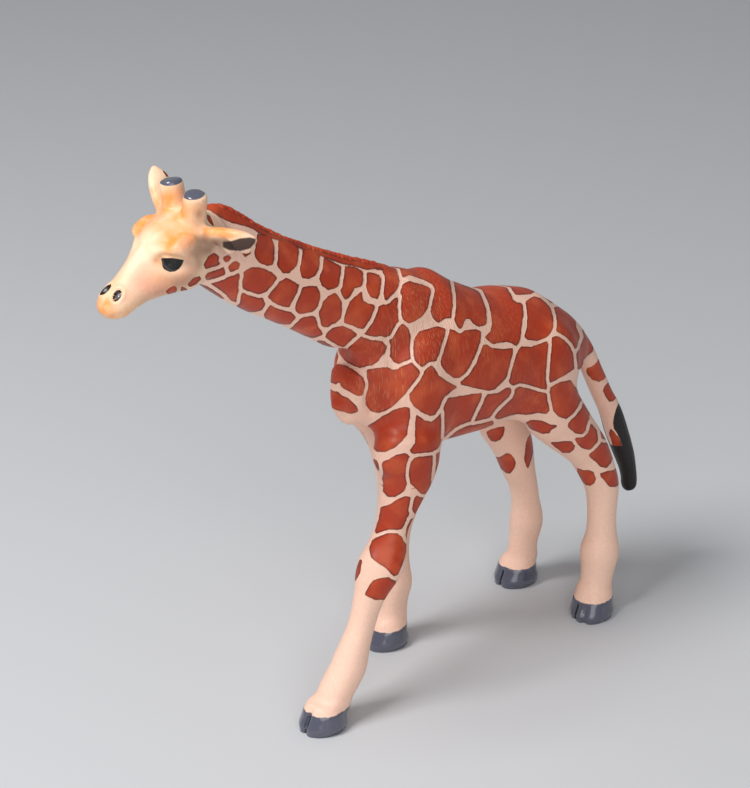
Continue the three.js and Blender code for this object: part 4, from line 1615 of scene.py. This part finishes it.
def paint_group() -> bpy.types.ShaderNodeTree:
    """Builds the shared shader group that turns the meshes' numbers into paint."""
    tree = bpy.data.node_groups.new("figure_paint", "ShaderNodeTree")
    tree.interface.new_socket("Color", in_out="OUTPUT", socket_type="NodeSocketColor")
    for name in ("Roughness", "Coat", "Height"):
        tree.interface.new_socket(name, in_out="OUTPUT", socket_type="NodeSocketFloat")
    node = Node(tree)
    place = node.add("ShaderNodeTexCoord").outputs["Object"]
    scaled = node.add("ShaderNodeVectorMath", {0: place, "Scale": 1 / METRES}, operation="SCALE")
    millimetres = scaled.outputs[0]
    grain = node.noise(millimetres, WORK.grain)
    cloud = node.noise(millimetres, WORK.cloud)
    ragged = node.math("SUBTRACT", node.noise(millimetres, WORK.ragged), 0.5)

    color = node.mix(node.mark(Mark.FACE), PAINTS.line, PAINTS.face)
    color = node.mix(node.mark(Mark.SHANK), color, PAINTS.shank)
    # Pink, partly painted shade on the lower head.
    color = node.mix(node.mark(Mark.ROSY_AND_SHADE), color, PAINTS.rosy_and_shade)
    brushed = node.ramp(node.noise(millimetres, WORK.brush), WORK.brushed)
    color = node.mix(node.times(node.mark(Mark.WARM), brushed), color, PAINTS.warm)
    # Painted shade round the ears and under the jaw.
    color = node.mix(node.mark(Mark.PAINTED_SHADE), color, PAINTS.painted_shade)

    margin = node.math("ADD", node.mark(Mark.PATCH), node.times(ragged, WORK.patch_raggedness))
    inside = node.ramp(margin, WORK.patch_edge)
    coat = node.mix(node.ramp(margin, WORK.patch_rim), PAINTS.patch_edge, PAINTS.patch)
    coat = node.mix(node.ramp(cloud, WORK.patch_cloud), coat, PAINTS.patch_light)
    streaked = node.add("ShaderNodeMapping", {
        "Vector": millimetres, "Rotation": WORK.strand_turn, "Scale": WORK.strand_scale,
    })
    strands = node.noise(streaked.outputs[0], WORK.strand)
    stroke = node.times(node.mark(Mark.STROKE), node.ramp(strands, WORK.stroke))
    coat = node.mix(node.times(stroke, WORK.stroke_cover), coat, PAINTS.hair)
    color = node.mix(inside, color, coat)

    hoof = node.math("ADD", node.mark(Mark.HOOF), node.times(ragged, WORK.hoof_raggedness))
    # Slate grey on the hooves, the horn caps and the near nostril's painted highlight.
    slate = node.math(
        "MAXIMUM",
        node.ramp(hoof, WORK.slate_edge),
        node.ramp(node.mark(Mark.CAP_AND_HIGHLIGHT), WORK.slate_edge),
    )
    ear = node.ramp(node.mark(Mark.EAR), WORK.ear_edge)
    tuft = node.ramp(node.mark(Mark.TUFT), WORK.tuft_edge)
    black = node.ramp(node.mark(Mark.BLACK), WORK.black_edge)
    for cover, laid in (
        (slate, PAINTS.slate), (ear, PAINTS.ear), (tuft, PAINTS.tuft), (black, PAINTS.black),
    ):
        color = node.mix(cover, color, laid)
    tint = node.add("ShaderNodeHueSaturation", {
        "Color": color, "Value": node.ramp(grain, WORK.grain_shade),
    })

    rough = node.blend(inside, WORK.line_rough, WORK.patch_rough)
    rough = node.blend(slate, rough, WORK.slate_rough)
    rough = node.blend(ear, rough, WORK.ear_rough)
    rough = node.blend(black, rough, WORK.black_rough)
    rough = node.math("ADD", rough, node.ramp(grain, WORK.grain_rough))
    shine = node.blend(slate, WORK.body_shine, WORK.slate_shine)
    shine = node.blend(black, shine, WORK.black_shine)
    shine = node.blend(ear, shine, WORK.ear_shine)
    shine = node.blend(tuft, shine, WORK.tuft_shine)
    height = node.math(
        "ADD", node.times(stroke, WORK.stroke_height), node.times(grain, WORK.grain_height),
    )
    step = node.times(node.ramp(margin, WORK.patch_step), WORK.patch_height)
    height = node.blend(slate, node.math("ADD", height, step), 0.0)
    hair = node.times(tuft, node.times(strands, WORK.tuft_height))
    height = node.math("ADD", height, hair)
    node.add("NodeGroupOutput", dict(enumerate((tint.outputs[0], rough, shine, height))))
    return tree


@dataclass(frozen=True)
class Varnish:
    """What the figure's materials share beside the paint."""

    bump_distance: float = 0.00012
    bump_strength: float = 0.6
    coat_roughness: float = 0.12
    specular: float = 0.36

    def material(self, slot: Slot, group: bpy.types.ShaderNodeTree) -> bpy.types.Material:
        """Makes the material of one slot."""
        material = bpy.data.materials.new(slot.value)
        material.use_nodes = True
        node = Node(material.node_tree)
        shared = node.add("ShaderNodeGroup", node_tree=group).outputs
        bump = node.add("ShaderNodeBump", {
            "Distance": self.bump_distance, "Strength": self.bump_strength,
            "Height": shared["Height"],
        })
        shader = material.node_tree.nodes["Principled BSDF"]
        for name, value in (
            ("Base Color", shared["Color"]), ("Roughness", shared["Roughness"]),
            ("Coat Weight", shared["Coat"]), ("Normal", bump.outputs[0]),
            ("Coat Roughness", self.coat_roughness), ("Specular IOR Level", self.specular),
        ):
            node.feed(shader.inputs[name], value)
        return material


@dataclass(frozen=True)
class Painter:
    """Works out the paint numbers of the pieces."""

    sight: Sight
    coat: Coat
    head_slack: float = 0.35
    far_hind_below: float = 41.0
    face_slope: Span = (-0.9, 0.4)
    face_span: Span = (71.0, 75.0)
    shank_span: Span = (24.0, 36.0)
    strip_edge: Span = (-0.35, 0.25)
    strip_end: Span = (222.0, 252.0)
    strip_cover: float = 0.85
    caps_above: float = 87.0
    tuft_seen: Span = (0.0, 0.3)
    tuft_above: float = 24.0

    def patches(self, piece: Piece, points: Array, normals: Array) -> Array:
        """How far inside a patch the points of a piece lie."""
        outlines = PATCHES_ON.get(piece)
        if outlines is None:
            return np.full(len(points), OUTSIDE)
        places, turned = Fold().near(points, normals)
        if piece in (Piece.TAIL, Piece.HEAD, Piece.NECK):
            places = folded(points, points[:, 0] < 0)
        cells = self.coat.cells(self.sight, outlines)
        if piece in (Piece.HIND_LEFT, Piece.HIND_RIGHT, Piece.TORSO):
            cells += self.coat.cells(self.sight, FAR_HINDLEG_PATCHES, mirror=True)
        slack = self.head_slack if piece in (Piece.HEAD, Piece.NECK) else 0.0
        patch = self.coat.margins(places, turned, outlines, cells, slack)
        if piece is Piece.FRONT_RIGHT:
            chosen, far = 1.0, OUTSIDE
        elif piece in (Piece.HIND_RIGHT, Piece.TORSO):
            chosen = (points[:, 0] < 0) & (points[:, 1] > TRUNK_MIDDLE)
            chosen &= points[:, 2] < self.far_hind_below
            far = outlined(points, FAR_HINDLEG_PATCHES)
        else:
            return patch
        seen = chosen * fade(normals @ PHOTO.back, self.coat.seen_from, self.coat.seen_to)
        return seen * far + (1 - seen) * patch

    def marks(self, piece: Piece, skin: Skin) -> dict[Mark, Array]:
        """Finds every paint number of a piece's points."""
        points, normals = skin.points, skin.normals
        along, height = points[:, 1], points[:, 2]
        patch = self.patches(piece, points, normals)
        nothing = np.full(len(points), OUTSIDE)
        if piece in (Piece.NECK, Piece.TORSO, Piece.HEAD):
            patch = np.maximum(patch, CREST_HALF_WIDTH - near_line(points, CREST))
            right = points[:, 0] < 0
            mane = shown(folded(points, right), folded(normals, right), MANE)
            patch = np.maximum(patch, nothing if piece is Piece.HEAD else mane)
        marks = {mark: np.zeros(len(points)) for mark in Mark}
        marks |= {mark: nothing for mark in (Mark.BLACK, Mark.CAP_AND_HIGHLIGHT, Mark.EAR, Mark.TUFT)}
        marks[Mark.HOOF] = HOOF_TOP - height
        forward, upward = self.face_slope
        marks[Mark.FACE] = fade(along * forward + height * upward, *self.face_span)
        marks[Mark.SHANK] = 1 - fade(height, *self.shank_span)
        for mark, spots, pieces in BLOBS_ON:
            if piece in pieces:
                marks[mark] = covered(spots, points, self.sight)
        if piece is Piece.HEAD:
            marks |= self._face(points, normals)
        if piece is Piece.EAR_LEFT:
            marks[Mark.EAR] = outlined(points, EAR_OPENING)
            strip = fade(outlined(points, EAR_STRIP), *self.strip_edge)
            strip *= 1 - fade(PHOTO.project(points)[0][:, 0], *self.strip_end)
            marks[Mark.WARM] = np.maximum(marks[Mark.WARM], self.strip_cover * strip)
            # No painted shade under the near ear's orange strip.
            marks[Mark.PAINTED_SHADE] *= 1 - strip
        if piece is Piece.EAR_RIGHT:
            marks[Mark.EAR] = EarCup().margin(points, normals)
            patch = shown(points, normals, FAR_EAR_MARK)
        if piece in SOLES:
            across, middle = SOLES[piece]
            groove = CLEFT_LINE - np.abs(points[:, 0] - across)
            front = middle - along - CLEFT_START
            marks[Mark.BLACK] = np.minimum(np.minimum(groove, front), CLEFT_TOP - height)
        if piece is Piece.TAIL:
            marks[Mark.TUFT] = self._tuft(points, normals)
            patch = np.minimum(patch, -marks[Mark.TUFT])
        marks[Mark.PATCH] = patch
        return marks

    def _face(self, points: Array, normals: Array) -> dict[Mark, Array]:
        """The eyes, the nostrils with a painted highlight in the near one, and the horn caps."""
        right = points[:, 0] < 0
        turned = folded(normals, right)
        eye = shown(folded(points, right), turned, EYE)
        places = nostril_places(points)
        far = points[:, 0] < NOSTRIL_SHIFT / 2
        nostril = shown(places, turned, NOSTRIL) + FAR_NOSTRIL_SPREAD * far
        # The near nostril's painted highlight, in the caps' grey, is cut out of the black.
        painted_highlight = np.where(far, OUTSIDE, shown(places, turned, NOSTRIL_PAINTED_HIGHLIGHT))
        left_floor, right_floor = HORN_CAP_FLOORS
        floors = np.where(points[:, 0] > 0, left_floor, right_floor)
        cap = points[:, 2] - floors - CAP_TILT * (points[:, 1] - HORN_AXIS)
        cap = np.where(points[:, 2] > self.caps_above, cap, OUTSIDE)
        return {
            Mark.BLACK: np.minimum(np.maximum(eye, nostril), -painted_highlight),
            Mark.CAP_AND_HIGHLIGHT: np.maximum(cap, painted_highlight),
        }

    def _tuft(self, points: Array, normals: Array) -> Array:
        """How far inside the tail's tuft points lie."""
        height = points[:, 2]
        seen = fade(normals @ PHOTO.back, *self.tuft_seen) * (height > self.tuft_above)
        return seen * outlined(points, TUFT) + (1 - seen) * (TUFT_TOP - height)


def store(mesh: bpy.types.Mesh, marks: dict[Mark, Array]) -> None:
    """Writes the paint numbers to a mesh."""
    for mark, values in marks.items():
        layer = mesh.attributes.new(mark.value, "FLOAT", "POINT")
        layer.data.foreach_set("value", values.astype(np.float32))


def finished(piece: Piece, skin: Skin, marks: dict[Mark, Array]) -> bpy.types.Object:
    """Makes the finished object of a piece, in metres in the frame."""
    mesh = bpy.data.meshes.new(piece.value)
    mesh.from_pydata(((skin.points + CALF_ZERO) * METRES).tolist(), [], skin.faces)
    mesh.shade_smooth()
    first_hub = len(skin.points) - skin.hubs
    dish = (face for face in skin.faces if max(face) >= first_hub)
    rim = [corner for face in dish for corner in face if corner < first_hub]
    sharp = mesh.attributes.new("sharp_edge", "BOOLEAN", "EDGE")
    sharp.data.foreach_set("value", np.isin(edges_of(mesh), rim).all(axis=1))
    store(mesh, marks)
    return linked(f"painted_{piece.value}", mesh)


@dataclass(frozen=True)
class ManeTufts:
    """The low tufts of the mane, made by a node tree that follows the neck's crest."""

    start: float = -40.4
    end: float = -9.0
    steps: int = 80
    slack: float = 4.0
    sunk: float = 0.3
    spacing: float = 0.85
    smallest: Place = (0.6, 0.55, 0.4)
    largest: Place = (0.95, 0.85, 0.52)
    seed: int = 4
    segments: int = 14
    rings: int = 9
    above: float = 120.0
    inside: float = 1.0

    def crest(self, neck: Skin) -> Array:
        """Finds the line along the top of the neck, a little under its skin."""
        tree = neck.tree()
        line = []
        for along in np.linspace(self.start, self.end, self.steps):
            place = tree.ray_cast(Vector((0.0, along, self.above)), Vector((0.0, 0.0, -1.0)))[0]
            top = np.interp(along, CREST[:, 1], CREST[:, 2])
            if place is not None and abs(place.z - top) < self.slack:
                line.append((0.0, along, place.z - self.sunk))
        return np.array(line)

    @staticmethod
    def node_tree(segments: int, rings: int) -> bpy.types.GeometryNodeTree:
        """Builds the node tree: a round tuft at each step of a path."""
        tree = bpy.data.node_groups.new("mane_tufts", "GeometryNodeTree")
        for name, kind in (
            ("Path", "NodeSocketGeometry"), ("Spacing", "NodeSocketFloat"),
            ("Smallest", "NodeSocketVector"), ("Largest", "NodeSocketVector"),
            ("Seed", "NodeSocketInt"), ("Material", "NodeSocketMaterial"),
        ):
            tree.interface.new_socket(name, in_out="INPUT", socket_type=kind)
        tree.interface.new_socket("Tufts", in_out="OUTPUT", socket_type="NodeSocketGeometry")
        node = Node(tree)
        given = node.add("NodeGroupInput").outputs
        curve = node.add("GeometryNodeMeshToCurve", {"Mesh": given["Path"]}).outputs["Curve"]
        steps = node.add(
            "GeometryNodeCurveToPoints", {"Curve": curve, "Length": given["Spacing"]},
            mode="LENGTH",
        ).outputs
        turn = node.add(
            "FunctionNodeAlignRotationToVector", {"Vector": steps["Tangent"]},
            axis="Y", pivot_axis="X",
        ).outputs["Rotation"]
        size = node.add(
            "FunctionNodeRandomValue",
            {"Min": given["Smallest"], "Max": given["Largest"], "Seed": given["Seed"]},
            data_type="FLOAT_VECTOR",
        ).outputs["Value"]
        tuft = node.add("GeometryNodeMeshUVSphere", {"Segments": segments, "Rings": rings})
        placed = node.add("GeometryNodeInstanceOnPoints", {
            "Points": steps["Points"], "Instance": tuft.outputs["Mesh"],
            "Rotation": turn, "Scale": size,
        }).outputs["Instances"]
        real = node.add("GeometryNodeRealizeInstances", {"Geometry": placed}).outputs["Geometry"]
        painted = node.add(
            "GeometryNodeSetMaterial", {"Geometry": real, "Material": given["Material"]},
        ).outputs["Geometry"]
        node.add("NodeGroupOutput", {"Tufts": painted})
        return tree

    def build(self, neck: Skin, material: bpy.types.Material) -> bpy.types.Object:
        """Makes the tufts as a plain mesh, in metres in the frame."""
        line = (self.crest(neck) + CALF_ZERO) * METRES
        path = bpy.data.meshes.new("mane_path")
        path.from_pydata(line.tolist(), [(k, k + 1) for k in range(len(line) - 1)], [])
        made = linked("painted_mane_tufts", path)
        tree = self.node_tree(self.segments, self.rings)
        modifier = made.modifiers.new("tufts", "NODES")
        modifier.node_group = tree
        for name, value in (
            ("Spacing", self.spacing * METRES),
            ("Smallest", Vector(self.smallest) * METRES),
            ("Largest", Vector(self.largest) * METRES),
            ("Seed", self.seed), ("Material", material),
        ):
            modifier[tree.interface.items_tree[name].identifier] = value
        mesh = modified(made)
        made.modifiers.clear()
        made.data = mesh
        mesh.shade_smooth()
        bare = np.zeros(len(mesh.vertices))
        marks = {mark: bare for mark in Mark}
        for mark in (Mark.HOOF, Mark.BLACK, Mark.CAP_AND_HIGHLIGHT, Mark.EAR, Mark.TUFT):
            marks[mark] = bare + OUTSIDE
        marks[Mark.PATCH] = bare + self.inside
        store(mesh, marks)
        LOG.info("mane tufts: %d points", len(mesh.vertices))
        return made


@dataclass(frozen=True)
class Lamp:
    """A round area light, in metres and watts."""

    name: str
    place: Place
    size: float
    power: float


@dataclass(frozen=True)
class Studio:
    """The floor and the lights of the photo, in metres."""

    floor: Colour = paint(204, 205, 207)
    floor_reach: float = 6.0
    floor_roughness: float = 0.6
    lamps: tuple[Lamp, ...] = (
        Lamp("key", (-0.04, -0.3, 0.46), 0.24, 2.3),
        Lamp("fill", (0.42, -0.3, 0.28), 0.5, 1.3),
    )
    aim: Place = (0.0, 0.0, 0.045)
    sky: Colour = paint(235, 238, 242)
    sky_strength: float = 0.31
    clip: Span = (0.01, 20.0)

    def build(self) -> None:
        """Makes the floor, the lights, the sky and the camera."""
        bpy.ops.mesh.primitive_plane_add(size=self.floor_reach)
        floor = bpy.context.object
        floor.name = "floor"
        material = bpy.data.materials.new("floor_grey")
        material.use_nodes = True
        shader = material.node_tree.nodes["Principled BSDF"]
        shader.inputs["Base Color"].default_value = self.floor
        shader.inputs["Roughness"].default_value = self.floor_roughness
        floor.data.materials.append(material)
        for lamp in self.lamps:
            self._light(lamp)
        world = bpy.data.worlds.new("sky")
        world.use_nodes = True
        background = world.node_tree.nodes["Background"]
        background.inputs["Color"].default_value = self.sky
        background.inputs["Strength"].default_value = self.sky_strength
        bpy.context.scene.world = world
        self._camera()

    def _light(self, lamp: Lamp) -> None:
        """Hangs a light that looks at the calf."""
        data = bpy.data.lights.new(lamp.name, "AREA")
        data.shape = "DISK"
        data.size = lamp.size
        data.energy = lamp.power
        made = linked(lamp.name, data)
        made.location = lamp.place
        look = Vector(self.aim) - Vector(lamp.place)
        made.rotation_euler = look.to_track_quat("-Z", "Y").to_euler()

    def _camera(self) -> None:
        """Puts the camera where the photo was taken."""
        data = bpy.data.cameras.new("photo_camera")
        data.sensor_width = PHOTO.sensor
        data.lens = PHOTO.focal * PHOTO.sensor / PHOTO.long_side
        data.clip_start, data.clip_end = self.clip
        camera = linked("photo_camera", data)
        camera.location = (PHOTO.place + CALF_ZERO) * METRES
        camera.rotation_euler = Vector(-PHOTO.back).to_track_quat("-Z", "Y").to_euler()
        bpy.context.scene.camera = camera


def main() -> None:
    """Builds the painted calf and its studio."""
    logging.basicConfig(level=logging.INFO, format="%(message)s")
    skin = Remesher().merged(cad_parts.values())
    Smoothing().apply(skin)
    Sculptor().apply(skin)
    painter = Painter(Sight(skin), Coat())
    group = paint_group()
    materials = {slot: Varnish().material(slot, group) for slot in Slot}
    parts = parted(skin)
    for piece, part in parts.items():
        made = finished(piece, part, painter.marks(piece, part))
        made.data.materials.append(materials[SLOTS[piece]])
        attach(made, "root")
        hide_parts(piece.value)
        LOG.info("%s: %d points", made.name, len(part.points))
    mane = ManeTufts().build(parts[Piece.NECK], materials[SLOTS[Piece.NECK]])
    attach(mane, "root")
    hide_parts(Piece.NECK.value)
    Studio().build()
    bpy.context.scene.view_settings.view_transform = "Standard"


if __name__ == "__main__":
    main()
